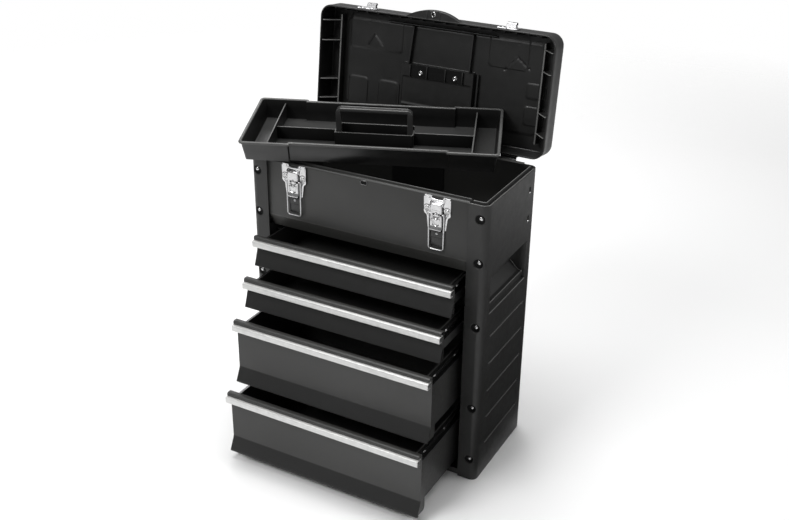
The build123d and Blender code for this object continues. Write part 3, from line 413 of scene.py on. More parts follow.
cap_plastic = moulded("end cap plastic", (0.019, 0.019, 0.0185), 0.46)
lid_plastic = moulded("lid plastic", (0.0125, 0.0125, 0.0122), 0.38, 0.25)
tray_plastic = moulded("tray plastic", (0.006, 0.006, 0.0059), 0.33, 0.3, specular=0.6)
# the tray's inner skin: its floor is painted paler, as painted light falling from above
lit_floor_lining_plastic = moulded("tray lining plastic, floor painted lit", (0.006, 0.006, 0.0059), 0.36, 0.3, specular=0.2,
                         lit_floor_shade=(0.029, 0.029, 0.0285))
grip_plastic = moulded("tray grip plastic", (0.032, 0.032, 0.0315), 0.36, 0.35)
# paler plastic for the tray's rim and divider beads: a painted highlight of the overhead light
rim_highlight_plastic = moulded("tray rim painted highlight plastic", (0.060, 0.060, 0.0585), 0.36, 0.3)
# bright plastic for the grip pocket's slanted edge and bulb ends: a painted highlight
bright_highlight_plastic = moulded("bright painted highlight plastic", (0.26, 0.26, 0.255), 0.42, 0.3)
# pale plastic for thin beads that stand in for highlights along rims, ribs and grip lines: painted highlights
pale_highlight_plastic = moulded("pale painted highlight plastic", (0.12, 0.12, 0.117), 0.42, 0.3)
# near-black, low-gloss plastic: painted shade in the rivet pockets, the lock slot and the lever's hole, and the handle
# bracket's own black
black_and_shade_plastic = moulded("black plastic and painted pocket shade", (0.003, 0.003, 0.003), 0.5, specular=0.12)
handle_plastic = moulded("handle plastic", (0.012, 0.012, 0.012), 0.4, 0.5, 1000.0)
black_plastic = moulded("black plastic", (0.006, 0.006, 0.006), 0.5)
dark_steel = painted("charcoal powder coat", (0.0268, 0.0268, 0.0256), 0.38)
# paler copies of the charcoal paint for the back, base, side sheets and drawer boxes: painted light where the
# compartment's inside stays dim
lit_back_steel = painted("back panel powder coat, painted paler", (0.042, 0.042, 0.040), 0.42)
lit_inner_steel = painted("inner powder coat, painted paler", (0.034, 0.034, 0.033), 0.42)
# a paler copy of the charcoal paint for the front's sloped skirt: a painted reflection of lit surroundings
skirt_reflection_steel = painted("skirt powder coat, painted reflection", (0.055, 0.055, 0.052), 0.42)
# a darker copy of the charcoal paint for the drawers' lower faces: painted shade under the overhanging pull strip
shaded_face_steel = painted("drawer face powder coat, painted shade", (0.0085, 0.0085, 0.0082), 0.42)
black_steel = painted("black enamel", (0.010, 0.010, 0.010), 0.28, 0.08)
black_rail = painted("slide enamel", (0.008, 0.008, 0.008), 0.2, 0.05)
strip_metal = metal("brushed aluminium", (0.70, 0.70, 0.69), 0.46, (0.15, 40, 40), 26.0, 0.03, 0.8)
chrome = metal("latch chrome", (0.66, 0.66, 0.665), 0.2, None, 220.0, 0.16)
ring_metal = metal("lock ring", (0.16, 0.16, 0.16), 0.34, None, 500.0, 0.08)
catch_metal = metal("catch zinc", (0.42, 0.42, 0.425), 0.32, None, 260.0, 0.14)
wire_metal = metal("latch wire", (0.66, 0.66, 0.665), 0.3, None, 1200.0, 0.03)
rivet_metal = metal("rivet steel", (0.60, 0.60, 0.60), 0.22, None, 600.0, 0.08)


# ---------------------------------------------------------------- end caps
def cap_plan(inset, places):
    """Points and outward directions of an end cap's plan at an inset, for places along its outline.

    A place is a pair (part, value): 0 the front run with x, 1 the front corner with its angle, 2 the
    side with y, 3 the rear corner, 4 the rear run.
    """
    part, value = places
    c, s, reach = np.cos(value), np.sin(value), cap_corner - inset
    stretch = [part == 0, part == 1, part == 2, part == 3]
    x = np.select(stretch, [value, cap_flat_x + reach * c, half_width - inset, cap_flat_x + reach * c], value)
    y = np.select(stretch, [-half_depth + inset, -cap_flat_y + reach * s, value, cap_flat_y + reach * s],
                  half_depth - inset)
    nx = np.select([part == 0, part == 4, part == 2], [0, 0, 1], c)
    ny = np.select([part == 0, part == 4, part == 2], [-1, 1, 0], s)
    return np.stack([x, y], -1), np.stack([nx, ny], -1)


def grip_depth(y, z, grow=0.0):
    """How far the hand grip goes in: a profile over the height, between soft ends front and back."""
    ends = rise(y, -80 - grow, 1.6) * rise(-y, -75 - grow, 1.6)
    stops = np.array([340, 341.6, 353.6, 355.6, 371.5, 414.2, 415.4]) + grow * np.array([-1, -1, -1, -1, -1, 1, 1])
    return ends * np.interp(z, stops, [0, 6, 6.4, 13, 29, 29, 0])


def end_cap(sign):
    """One end cap: the plan carried up the height, in at the top over a grooved rim, and down inside.

    Each outer point moves in by the depth of the grip, ribs and pockets that it lies in.
    """
    shape = Shape()
    arc = np.radians(np.linspace(-90, 0, 15)[1:-1])
    run = lines(cap_edge, cap_flat_x, 5, (216, 6.6, 0.75), (cap_edge + 0.8, 0.8, 0.4), (202.8, 1.2, 0.4))
    side = lines(-cap_flat_y, cap_flat_y, 9, (-80, 2.4, 0.6), (75, 2.4, 0.6), (-73, 1.5, 0.5), (73.5, 7.5, 0.7))
    part = np.concatenate([run * 0, arc * 0 + 1, side * 0 + 2, arc * 0 + 3, run * 0 + 4])
    value = np.concatenate([run, arc, side, arc + math.pi / 2, run[::-1]])
    fine = [(h - 1.2, 10.8, 0.8) for h in rivet_heights]
    fine += [(h, 2.9, 0.42) for h in rib_heights]
    fine += [(340.5, 2.4, 0.5), (354.5, 2.2, 0.5), (372, 2.0, 0.7), (414.8, 1.8, 0.4), (458, 8, 0.8), (513, 8, 0.8)]
    z = lines(0.8, 548.4, 13, *fine)[:, None]
    flat, out = cap_plan(0, (part, value))
    x, y = flat[None, :, 0], flat[None, :, 1]
    on_side = (part == 2)[None]
    depth = grip_depth(y, z) * on_side
    along_rib = rise(y, -rib_end_y, 1.2) * rise(-y, -rib_rear, 1.2)
    for height in rib_heights:
        depth = depth - 0.95 * on_side * along_rib * smooth((1.7 - np.abs(z - height)) / 1.2)
        depth = depth - 0.8 * on_side * smooth((2.7 - np.hypot(y - rib_end_y, z - height)) / 1.5)
    for height in side_rivet_heights:
        pit = np.hypot(y - side_rivet_y, (z - height - 4.6) * 0.8)
        depth = depth + on_side * 2.3 * smooth((5.4 - pit) / 1.3)
    depth = np.where(on_side, depth, 0)
    px, py = x - out[None, :, 0] * depth, y - out[None, :, 1] * depth
    front = (part <= 1)[None]
    for height in rivet_heights:
        away = np.hypot(x - 220.6, z - height + 1.4)
        py = py + front * smooth((9.0 - away) / 1.5) * np.maximum(-101.5 - py, 0)
    outer = np.stack(np.broadcast_arrays(px, py, z), -1)
    foot = [(0.8, 0.0), (0.25, 0.25)]
    rim = [(0.15, 549.0), (0.5, 549.5), (1.1, 549.7), (2.3, 549.7), (2.8, 549.4), (3.0, 548.8), (3.2, 546.4),
           (7.6, 546.2), (7.8, 551.8), (8.1, 552.6), (8.8, 553.0), (9.6, 552.8), (10.0, 552.2), (10.1, 544.6),
           (3.6, 543.6), (3.0, 542.6)]

    def ring(inset, height):
        """The cap's plan at an inset, laid level at a height."""
        return np.column_stack([cap_plan(inset, (part, value))[0], np.full(len(part), height)])

    inner_z = z[z[:, 0] < 541][::-1]
    inset = np.maximum(cap_wall, (grip_depth(y, inner_z, 2.5) + 2.5) * on_side)
    inner = np.stack(np.broadcast_arrays(x - out[None, :, 0] * inset, y - out[None, :, 1] * inset, inner_z), -1)
    top = np.stack([ring(*r) for r in rim])
    top[8:12, :, 2] -= 6.0 * smooth((203.4 - top[8:12, :, 0]) / 1.0)
    columns = np.concatenate([[ring(*foot[0])], [ring(*foot[1])], outer, top, inner])
    columns[..., 0] = np.maximum(columns[..., 0], cap_edge)
    shape.tube(columns.transpose(1, 0, 2))
    shape.prism(cap_plan(cap_wall, (part, value))[0], 0.4, cap_wall)
    shape.points = [p * (sign, 1, 1) for p in shape.points]
    return shape


piece("cap_right", end_cap(1), "body", cap_plastic, ("end_cap_right",))
piece("cap_left", end_cap(-1), "body", cap_plastic, ("end_cap_left",))

# thin pale beads along the caps' grip edges, rib lines and rim shoulders: painted highlights where these edges catch
# the light
edges, grip_highlights = Shape(), Shape()
for sign in (-1, 1):
    for x, z in ((229.1, 354.4), (235.2, 340.9)):
        edges.block((sign * (x - 1.2), -79.5, z - 0.75), (sign * x, 73.4, z + 0.75), 0.5)
        edges.turned([(sign * (x - 1.0), 73.4, z)], (sign, 0, 0),
                     [(0.001, -0.5), (1.7, -0.5), (1.8, 0.6), (1.2, 1.3), (0.001, 1.5)], 14)
    slope = [(206.9, 371.6), (222.2, 356.4), (228.6, 355.0)]
    grip_highlights.wire([(sign * x, 73.9, z) for x, z in slope], 0.6, (0, 1, 0), 8)
    for inset, height, start in ((1.7, 549.5, cap_edge + 0.4), (8.9, 552.6, 204.2)):
        part = np.concatenate([np.zeros(6), np.ones(13), np.full(6, 2.0)])
        corner = np.radians(np.linspace(-90, 0, 15)[1:-1])
        value = np.concatenate([np.linspace(start, 221, 6), corner, np.linspace(-91, 91, 6)])
        flat = cap_plan(inset, (part, value))[0]
        edges.wire(np.column_stack([sign * flat[:, 0], flat[:, 1], np.full(len(flat), height)]), 0.55, (0, 0, 1), 8)
for sign in (-1, 1):
    for height in rib_heights:
        edges.block((sign * 235.3, -72.0, height - 0.5), (sign * 236.15, 73.0, height + 0.5), 0.35)
        edges.turned([(sign * 235.4, 73.2, height)], (sign, 0, 0),
                     [(0.001, -0.5), (1.6, -0.5), (1.6, 0.2), (1.1, 0.8), (0.001, 0.95)], 14)
piece("cap_painted_highlight_edges", edges, "body", pale_highlight_plastic, (), 40)
piece("cap_grip_edges", grip_highlights, "body", bright_highlight_plastic, (), 40)

head = [(3.7, -1.0), (3.8, 0.2), (3.6, 0.9), (3.0, 1.5), (2.1, 2.0), (1.0, 2.3), (0.001, 2.35)]
shank = [(0.001, -2.6), (1.8, -2.6), (1.8, -1.0)]
rivets = Shape()
rivets.turned([(s * 221.6, -101.8, h) for s in (-1, 1) for h in rivet_heights], (0, -1, 0), shank + head)
piece("cap_rivets", rivets, "body", rivet_metal, ("corner_rivets",), 50)
# dark discs on the rivet pockets' floors: painted shade in the recesses
pocket_shade = Shape()
pocket_shade.turned([(s * 220.6, -102.4, h - 1.4) for s in (-1, 1) for h in rivet_heights], (0, -1, 0),
             [(0.001, -0.6), (8.1, -0.6), (8.3, 0.0), (8.2, 0.5), (7.6, 0.45), (6.6, 0.05), (0.001, 0.0)], 32)
piece("cap_rivet_seats", pocket_shade, "body", black_and_shade_plastic, (), 40)
rivets = Shape()
for sign in (-1, 1):
    rivets.turned([(sign * half_width, side_rivet_y, h) for h in side_rivet_heights], (sign, 0, 0),
                  [(r * 0.72, h * 0.8 - 0.4) for r, h in shank + head])
piece("cap_side_rivets", rivets, "body", rivet_metal, ("side_rivets",), 50)


# ---------------------------------------------------------------- front sheet of the body
def folded(outline, radius, wall=1.0, steps=4):
    """The closed section of a folded sheet: a run of points with soft bends, and the same run set over.

    outline holds (y, z) pairs; the wall lies to the left of the way the points run.
    """
    run = rounded(outline, radius, steps, closed=False)
    return np.vstack([run, (run + wall * ways_left(run))[::-1]])


def carried(shape, section, low, high, bevel):
    """A (y, z) section carried across the width, with both ends drawn in by the bevel."""
    shape.prism(section, low, high, axis=0, bevel=bevel)


front = Shape()
hem = folded([(-90.4, 545.0), (-90.4, 552.9), (-92.6, 552.9), (-93.2, 547.6), (-96.0, 547.6), (-96.6, 550.6),
              (-100.4, 550.6), (panel_face, 547.4), (panel_face, panel_foot)],
              [0, 0.9, 0.9, 0.6, 0.6, 1.0, 1.6, 1.6, 0], 1.0, 3)
carried(front, hem, -panel_half, panel_half, 0.3)
# the sloped skirt is its own piece so that it takes the paler paint: painted reflection
skirt = Shape()
slanted = folded([(panel_face, panel_foot), (panel_face, 442.0), (-87.9, 416.0)], [0, 3.0, 0])
carried(skirt, slanted, -panel_half, panel_half, 0.3)
piece("front_skirt", skirt, "body", skirt_reflection_steel, (), 34)
for sign in (-1, 1):
    front.block((sign * 198.9, panel_face, 454), (sign * 211, -100.9, 545), 0.3)
piece("front_sheet", front, "body", dark_steel, ("front_panel",), 34)

ring = Shape()
slot_path = rounded([(-6.6, 539.6), (6.6, 539.6), (6.6, 547.2), (-6.6, 547.2)], 3.7, 7)
slot_path = np.insert(slot_path, 1, -102.2, axis=1)
ring.wire(slot_path, 0.8, (0, 1, 0), 10, True)
piece("lock_ring", ring, "body", ring_metal, ("lock_plug",), 50)
# a dark block behind the lock ring: painted shade in the keyhole recess
slot = Shape()
slot.block((-6.0, -102.15, 540.2), (6.0, -101.8, 546.6), 0.2)
piece("lock_ring_shade", slot, "body", black_and_shade_plastic, (), 50)


# ---------------------------------------------------------------- drawers
def drawer(number, top, drop, pull):
    """The folded front with its end plates, the pull strip and the slide screws of one drawer."""
    y0, bottom = -half_depth - pull, top - drop
    name, deep = f"drawer_{number}", drop > 100
    roll_end = 14.2 if number == 1 else 16.8
    if deep:
        bend = bottom + 27.0
        upright_foot = bend + 1.5
        outline = [(16.4, bend + 1.5), (16.3, bend), (5.2, bottom + 4.2), (3.6, bottom + 0.2), (6.0, bottom - 0.6),
                   (9.5, bottom)]
        bends = [0, 5.0, 6.0, 1.6, 1.0, 0]
        flank = [(17.0, top - 30.0), (33.0, top - 40.0), (33.0, bottom + 6.0), (30.0, bottom + 0.6),
                 (7.4, bottom + 1.6), (16.8, bend)]
        flank_bends = [1.0, 6.0, 6.0, 3.0, 1.0, 8.0]
    else:
        bend = upright_foot = top - 9.5
        outline = [(16.4, bend), (15.6, top - 20.0), (5.6, bottom + 2.4), (4.2, bottom - 1.4), (6.0, bottom - 2.4),
                   (9.5, bottom - 2.2)]
        bends = [0, 24.0, 6.0, 1.6, 1.0, 0]
        flank = [(15.2, top - 28.0), (20.5, top - 31.0), (20.5, bottom + 3.0), (17.0, bottom - 1.0),
                 (7.4, bottom - 0.6)]
        flank_bends = [1.0, 2.0, 2.0, 2.0, 1.0]
    roll = [(7.0, top - 0.2), (6.2, top + 6.4), (roll_end, top + 5.8), (16.4, upright_foot)]
    roll, outline, flank = ([(y0 + y, z) for y, z in run] for run in (roll, outline, flank))

    sheet, face, ends = Shape(), Shape(), Shape()
    carried(sheet, folded(roll, [0, 2.6, 2.4, 0], 1.0, 5), -front_half, front_half, 0.3)
    carried(face, folded(outline, bends, 1.0, 5), -front_half, front_half, 0.3)
    # the lower face carries the darker paint: painted shade under the pull
    piece(f"{name}_face", face, name, shaded_face_steel, (), 34)
    for sign in (-1, 1):
        carried(ends, rounded(flank, flank_bends, 4), sign * (front_half - 1.0), sign * (front_half - 2.1), 0.25)
    piece(f"{name}_sheet", sheet, name, dark_steel, (f"{name}_front",), 34)
    piece(f"{name}_end_plates", ends, name, lit_inner_steel if deep else black_steel, (), 34)

    strip = Shape()
    low, under_top, over_low = top - 12.0, top - 1.4, top - 10.6
    section = rounded([(y0, low), (y0, top), (y0 + 13.0, top), (y0 + 13.0, under_top), (y0 + 1.4, under_top),
                       (y0 + 1.4, over_low), (y0 + 9.0, over_low), (y0 + 9.0, low)],
                      [1.5, 1.5, 0.5, 0.5, 0.5, 0.5, 0.5, 0.5], 3)
    carried(strip, section, -front_half, front_half, 0.25)
    piece(f"{name}_pull", strip, name, strip_metal, (f"{name}_strip",), 34)

    screws = Shape()
    box_front = y0 + 17.3
    for sign in (-1, 1):
        screws.turned([(sign * 185.4, box_front + s, top - 14.0) for s in (35, 112)], (sign, 0, 0),
                      [(0.001, -1.8), (1.4, -1.8), (1.4, 0), (3.3, 0.0), (3.4, 0.5), (2.9, 1.1), (1.5, 1.45),
                       (0.9, 1.0), (0.001, 0.8)])
    piece(f"{name}_slide_screws", screws, name, rivet_metal, (f"{name}_screws",), 50)


for number, (top, drop, pull) in enumerate(zip(drawer_tops, drawer_drops, drawer_pulls), start=1):
    drawer(number, top, drop, pull)


# ---------------------------------------------------------------- latches
def latch_plate(x0):
    """Pressed plate: for each height its inner and outer half width, with a relief pressed into it."""
    z = lines(489.0, 548.5, 2.2, (504.3, 1.6, 0.4), (514, 3.2, 0.6), (544.0, 1.6, 0.4), (525, 8, 0.8),
              (534.5, 2.5, 0.6), (518, 2.4, 0.5), (490, 1, 0.5), (547.8, 0.8, 0.4))
    outer = np.interp(z, [489, 490.2, 511, 513, 515.5, 517, 546.6, 548.1, 548.5],
                      [15.6, 17.0, 19.6, 20.6, 24.2, 25, 25, 24.2, 23])
    inner = np.interp(z, [489, 490.2, 503.2, 504.2, 504.6, 543.7, 544.1, 545.2, 547.3, 548.5],
                      [13.4, 12.6, 12.6, 11, 0, 0, 8.8, 10.0, 10.6, 11.6])
    u = np.concatenate([np.linspace(0, 0.12, 4)[:-1], np.linspace(0.12, 0.88, 26), np.linspace(0.88, 1, 4)[1:]])
    shape = Shape()
    for sign in (-1, 1):
        x = sign * (inner[:, None] + (outer - inner)[:, None] * u[None])
        zz = np.broadcast_to(z[:, None], x.shape)
        ax = np.abs(x)
        boss = np.hypot(ax - 18.5, zz - 525)
        high = 0.55 * smooth((7.0 - boss) / 1.2) - 0.45 * smooth((5.4 - boss) / 0.9)
        high = high + 0.7 * stroke_mask(ax, zz, [(12.4, 531), (13, 536), (14.4, 541), (14.4, 546)], 0.7, 1.0)
        high = high + 0.6 * plate_mask(ax, zz, -11, 11, 539.6, 543.2, 1.0, 1.0)
        high = high + 0.6 * rise(ax, outer[:, None] - 2.0, 1.2) * rise(zz, 517, 2) * rise(-zz, -546.5, 1.5)
        high = high - 0.7 * plate_mask(ax, zz, -11.6, 11.6, 504, 531, 2.5, 1.2)
        high = high + 0.5 * stroke_mask(ax, zz, [(15.4, 491), (16.6, 510), (20, 517)], 0.9, 1.0)
        shape.grid(np.stack([x0 + x, plate_face - 0.25 - high, zz], -1))
    return shape


def lever(x0):
    """Pressed lever: a trough-shaped section carried down its length and rolled over the pin at its top.

    Its face keeps level below the roll, steps in under a crease at z 526, rises to a ridge between two
    grooves, and turns out again at the foot.
    """
    over_pin = np.array([0.5, 1.2, 1.8, 2.3])
    face_z = lines(489.6, lever_pin_z, 1.5, (498, 3, 0.7), (512, 10, 0.8), (525.5, 2.6, 0.45))
    z = np.concatenate([face_z, lever_pin_z + over_pin])
    across = np.array([-11, -11, -10.9, -10.4, -9.4, -8.2, *np.linspace(-7.4, 7.4, 25), 8.2, 9.4, 10.4, 10.9, 11, 11])
    back = np.array([4.6, 2.6, 1.5, 0.6, 0.12, 0, *np.zeros(25), 0, 0.12, 0.6, 1.5, 2.6, 4.6])
    zz, ax = z[:, None], np.abs(across)[None]
    roll = np.interp(zz - lever_pin_z, [0, 0.5, 1.2, 1.8, 2.3], [3.2, 2.9, 2.15, 1.45, 0.7])
    face = np.where(zz > lever_pin_z, pin_y - roll, -109.4) - 1.7 * smooth((498.0 - zz) / 8.0)
    narrow = np.interp(z, [489.6, 492, 500, 537.6], [0.97, 1.0, 1.0, 0.93])[:, None]
    inside = smooth((8.6 - ax) / 1.6)
    press = 1.5 * inside * rise(-zz, -525.6, 1.2) * rise(zz, 512.0, 7.0)
    press = press - 1.3 * smooth((3.6 - np.hypot(ax, (zz - 517.5) * 0.8)) / 2.2)
    press = press + 1.2 * stroke_mask(ax, zz, [(6.4, 511), (4.6, 500.5), (0, 498.8)], 1.3, 1.6)
    press = press - 0.7 * plate_mask(ax, zz, -2.2, 2.2, 501.5, 510.5, 2.0, 1.6)
    hole = plate_mask(across[None], zz, 6.4, 10.4, 516.4, 519.8, 0.4, 0.7)
    y = face + back[None] * np.interp(z, [489.6, 494, 537.6], [0.25, 1, 1])[:, None] + press + 2.2 * hole
    shape = Shape()
    shape.grid(np.stack([x0 + across[None] * narrow, y, np.broadcast_to(zz, y.shape)], -1))
    return shape


for side, sign in (("left", -1), ("right", 1)):
    x0 = sign * latch_x
    plate_name, lever_name, bail_name = f"latch_plate_{side}", f"latch_lever_{side}", f"latch_bail_{side}"
    piece(f"{plate_name}_pressed", latch_plate(x0), "body", chrome, (plate_name,), 50, (0, -1, 0),
          1.2)
    lugs = Shape()
    ear = rounded([(-102.6, 531.4), (-102.6, 540.6), (-106.4, 540.0), (-109.2, 538.0), (-109.2, 534.2),
                   (-106.6, 532.0)],
                  [0.3, 0.8, 2.4, 2.4, 2.4, 2.4], 4)
    for x in (x0 - 11.9, x0 + 11.9):
        carried(lugs, ear, x - 0.5, x + 0.5, 0.2)
    piece(f"latch_ears_{side}", lugs, "body", chrome, (), 40)
    piece(f"{lever_name}_pressed", lever(x0), lever_name, chrome, (lever_name,), 50, (0, -1, 0), 1.0)
    eye = Shape()
    eye.turned([(x0 - 10.4, pin_y, lever_pin_z)], (1, 0, 0),
               [(0.001, 0), (2.3, 0.2), (2.45, 0.6), (2.45, 20.2), (2.3, 20.6), (0.001, 20.8)], 20)
    eye.block((x0 - 9.6, -107.9, 514.6), (x0 + 9.6, -104.3, 521.4), 1.4)
    piece(f"{lever_name}_eye", eye, lever_name, chrome, (), 40)
    # a dark block in the lever's hole: painted shade
    slot_shade = Shape()
    slot_shade.block((x0 + 6.3, -108.5, 516.3), (x0 + 10.1, -107.2, 519.9), 0.3)
    piece(f"{lever_name}_slot", slot_shade, lever_name, black_and_shade_plastic)
    bail = Shape()
    path = rounded([(x0 + 8.5, bail_pin_z), (x0 + 14.2, bail_pin_z), (x0 + 13.7, 453), (x0 - 13.7, 453),
                    (x0 - 14.2, bail_pin_z), (x0 - 8.5, bail_pin_z)], [0, 2.0, 5.0, 5.0, 2.0, 0], 8, closed=False)
    bail.wire(np.insert(path, 1, pin_y, axis=1), 1.25, (0, 1, 0), 14)
    piece(f"{bail_name}_wire", bail, bail_name, wire_metal, (bail_name,), 50)
    pad = Shape()
    pad.block((x0 - 11.4, -103.2, 457), (x0 + 11.4, -101.8, 487.5), 0.7, 3)
    pad.block((x0 - 11.4, -104.2, 473.5), (x0 + 11.4, -101.8, 487.5), 0.9, 3)
    piece(f"latch_pad_{side}", pad, "body", black_rail)
    dot = Shape()
    dot.turned([(x0, -104.1, 481)], (0, -1, 0),
               [(0.001, -1), (2.6, -1), (2.7, 0.1), (2.2, 0.7), (1.2, 1.1), (0.001, 1.2)], 16)
    piece(f"latch_dot_{side}", dot, "body", catch_metal)
latch_rivets = Shape()
latch_rivets.turned([(s * latch_x + d, plate_face - 0.1, 525) for s in (-1, 1) for d in (-18.5, 18.5)], (0, -1, 0),
                    [(0.001, -3), (1.8, -3), (1.8, -0.6), (4.0, -0.6), (4.15, 0), (3.9, 0.5), (3.2, 0.95),
                     (2.3, 1.15), (1.8, 0.95), (0.001, 0.8)])
piece("latch_plate_rivets", latch_rivets, "body", rivet_metal, ("latch_rivets",), 50)


# ---------------------------------------------------------------- lid
corner_share = np.sin(np.radians(np.linspace(0, 90, 8)[1:]))
field_x = lines(-lid_flat_x, lid_flat_x, 2.0, (-72, 2.4, 0.6), (72, 2.4, 0.6), (-53, 1.8, 0.6), (53, 1.8, 0.6),
                (-58, 4.5, 0.8), (65.5, 3.5, 0.8), (-213, 1.5, 0.6), (213, 1.5, 0.6))
field_y = lines(lid_flat_front, lid_flat_back, 2.0, (-19, 2.4, 0.6), (60, 2.4, 0.6), (2, 1.6, 0.6))


def lid_net(inset):
    """The lid's plan at an inset as a net of points, whose corner squares are pressed into quarter discs.

    In a corner square with shares p and q of the corner radius, x = p root(1 - q q / 2) and
    y = q root(1 - p p / 2).
    """
    r = lid_corner - inset
    x = np.concatenate([-lid_flat_x - r * corner_share[::-1], field_x, lid_flat_x + r * corner_share])
    y = np.concatenate([lid_flat_front - r * corner_share[::-1], field_y, lid_flat_back + r * corner_share])
    x, y = np.meshgrid(x, y)
    over_x, over_y = np.abs(x) > lid_flat_x, (y < lid_flat_front) | (y > lid_flat_back)
    p, q = (np.abs(x) - lid_flat_x) / r, np.where(y > 0, y - lid_flat_back, lid_flat_front - y) / r
    both = over_x & over_y
    pressed_x = np.sign(x) * (lid_flat_x + r * p * np.sqrt(np.maximum(1 - q * q / 2, 0)))
    pressed_y = np.sign(y) * r * q * np.sqrt(np.maximum(1 - p * p / 2, 0))
    pressed_y = np.where(y > 0, lid_flat_back, lid_flat_front) + pressed_y
    return np.where(both, pressed_x, x), np.where(both, pressed_y, y)


def edge_run(net):
    """The points round the edge of a net, once round."""
    return np.concatenate([net[0, :-1], net[:-1, -1], net[-1, :0:-1], net[:0:-1, 0]])


def lid_top(x, y):
    """Height of the lid's top: level, with the handle well and its island sunk in or left standing."""
    well = plate_mask(x, y, -72, 72, -19, 60, 5.0, 2.0)
    island = plate_mask(x, y, -53, 53, -25, 2, 2.0, 1.6)
    border = plate_mask(x, y, -206, 206, -84, 80, 10, 2.0) - plate_mask(x, y, -203.4, 203.4, -81.4, 77.4, 8, 2.0)
    return lid_high - 12 * well * (1 - island) - 0.7 * border * (1 - plate_mask(x, y, -80, 80, -30, 70, 4, 2))


def lid_under(x, y):
    """Height of the lid's underside: the pressed panel with its outlines and marks, and the well's block."""
    z = 598.4 - 1.6 * plate_mask(x, y, -199, 201, -88, 76, 9, 1.8)
    for x0, x1, y0, y1, radius in ((-193, -80, -98, -34, 7), (-192, -150, 22, 96, 7), (-126, -85, 22, 96, 7),
                                   (98, 174, -98, -37, 7), (177, 214, -17, 10, 4), (176, 214, 25, 59, 5)):
        z = z - 1.2 * plate_mask(x, y, x0, x1, y0, y1, radius, 1.6)
    for strokes in ([(-153, -40), (-139.5, -63), (-121, -44)], [(130, -34), (153, -60), (178, -41)]):
        z = z + 1.4 * stroke_mask(x, y, strokes, 1.3, 1.2)
    for a, b in ((-152, -84), (154, -84)):
        z = z + 0.9 * smooth((2.4 - np.hypot(x - a, y - b)) / 1.2)
    block = plate_mask(x, y, -75, 75, -19.5, 59, 3.5, 1.8)
    z = z * (1 - block) + (587.0 + 1.0 * plate_mask(x, y, -71, 71, 4, 55, 3, 1.6)) * block
    return z


def lid_sheet(inset, height):
    """The lid's net at an inset, raised to the height that a function gives over its plan."""
    x, y = lid_net(inset)
    return np.stack([x, y, height(x, y)], -1)


def lid_shell():
    """The closed shell: top net, rounded edge, wall, rim bead, inner wall and the net of the underside."""
    shape = Shape(opened)
    top, under = lid_sheet(lid_round, lid_top), lid_sheet(5.0, lid_under)
    shape.grid(top)
    shape.grid(under[:, ::-1])
    turn = np.radians(np.linspace(90, 0, 8)[1:])
    profile = [(lid_round - lid_round * math.cos(t), lid_high - lid_round + lid_round * math.sin(t)) for t in turn]
    profile += [(0.0, 584), (0.2, 572), (0.3, 560.6), (0.0, 559.6), (0.0, 554.2), (0.3, 553.6), (0.9, lid_low),
                (2.0, lid_low), (2.6, 553.7), (2.9, 554.6), (3.0, 562), (3.0, 594), (3.2, 596.2), (3.9, 597.6)]
    wall = [edge_run(lid_sheet(inset, lambda x, y: np.full(x.shape, z))) for inset, z in profile]
    shape.grid(np.stack([edge_run(top), *wall, edge_run(under)]), around=True)
    return shape


piece("lid_moulding", lid_shell(), "lid", lid_plastic, ("lid_shell",), 30)


# pale beads along the sloped edges of the lid's side ribs and along the ledges beside them: painted highlights
ribs, lid_highlight_beads = Shape(opened), Shape(opened)
front_rib = rounded([(-109.5, 557.2), (-107.4, 556.8), (-104.6, 561), (-103.4, 572), (-101.0, 598.6),
                     (-109.5, 598.6)], [0.3, 1.5, 3, 3, 0.3, 0.3], 3)
for x in 23.0 * np.arange(-9, 10):
    carried(ribs, front_rib, x - 0.9, x + 0.9, 0.2)
for sign in (-1, 1):
    for y in (-82.0, -44.0, 30.0, 67.0):
        side_rib = [(234.6, 556.4), (230, 556.6), (210, 580), (206.4, 583), (206.4, 598.8), (234.6, 598.8)]
        flat = rounded([(sign * x, z) for x, z in side_rib], [0.3, 3, 3, 0.5, 0.3, 0.3], 3)
        ribs.prism(flat, y - 0.9, y + 0.9, axis=1, bevel=0.2)
        slope = [(232.6, 556.8), (229.8, 557.2), (210.2, 580.2), (207.6, 582.0)]
        lid_highlight_beads.wire([(sign * x, y, z) for x, z in slope], 1.0, (0, 1, 0), 8)
    ribs.block((sign * 208.4, -93, 583), (sign * 206.4, 88, 598.9), 0.7)
    lid_highlight_beads.block((sign * 209.0, -93, 582.2), (sign * 205.8, 88, 584.4), 1.0)
# tall ribs in front of the well's block and beside it, from one point to another
tall_ribs = (((-55, -89), (-61, -19), 588.5), ((66, -89), (64, -19), 588.5), ((82, -18), (82, 76), 590.0),
             ((-82, 24), (-82, 76), 595))
for *ends, low in tall_ribs:
    start, end = np.array(ends, float)
    along = (end - start) / math.hypot(*(end - start))
    side = np.array([-along[1], along[0]]) * 1.2
    ribs.prism(rounded([start + side, end + side, end - side, start - side], 0.7, 2), low, 599.0, bevel=0.3)
ribs.block((-112, -92.5, 589), (112, -90.6, 599), 0.6)
for x in (-54, -19, 19, 54):
    ribs.block((x - 1.0, -19, 582.4), (x + 1.0, 3.4, 588), 0.5)
piece("lid_ribs", ribs, "lid", lid_plastic, (), 34)
piece("lid_painted_highlight_edges", lid_highlight_beads, "lid", pale_highlight_plastic, (), 40)


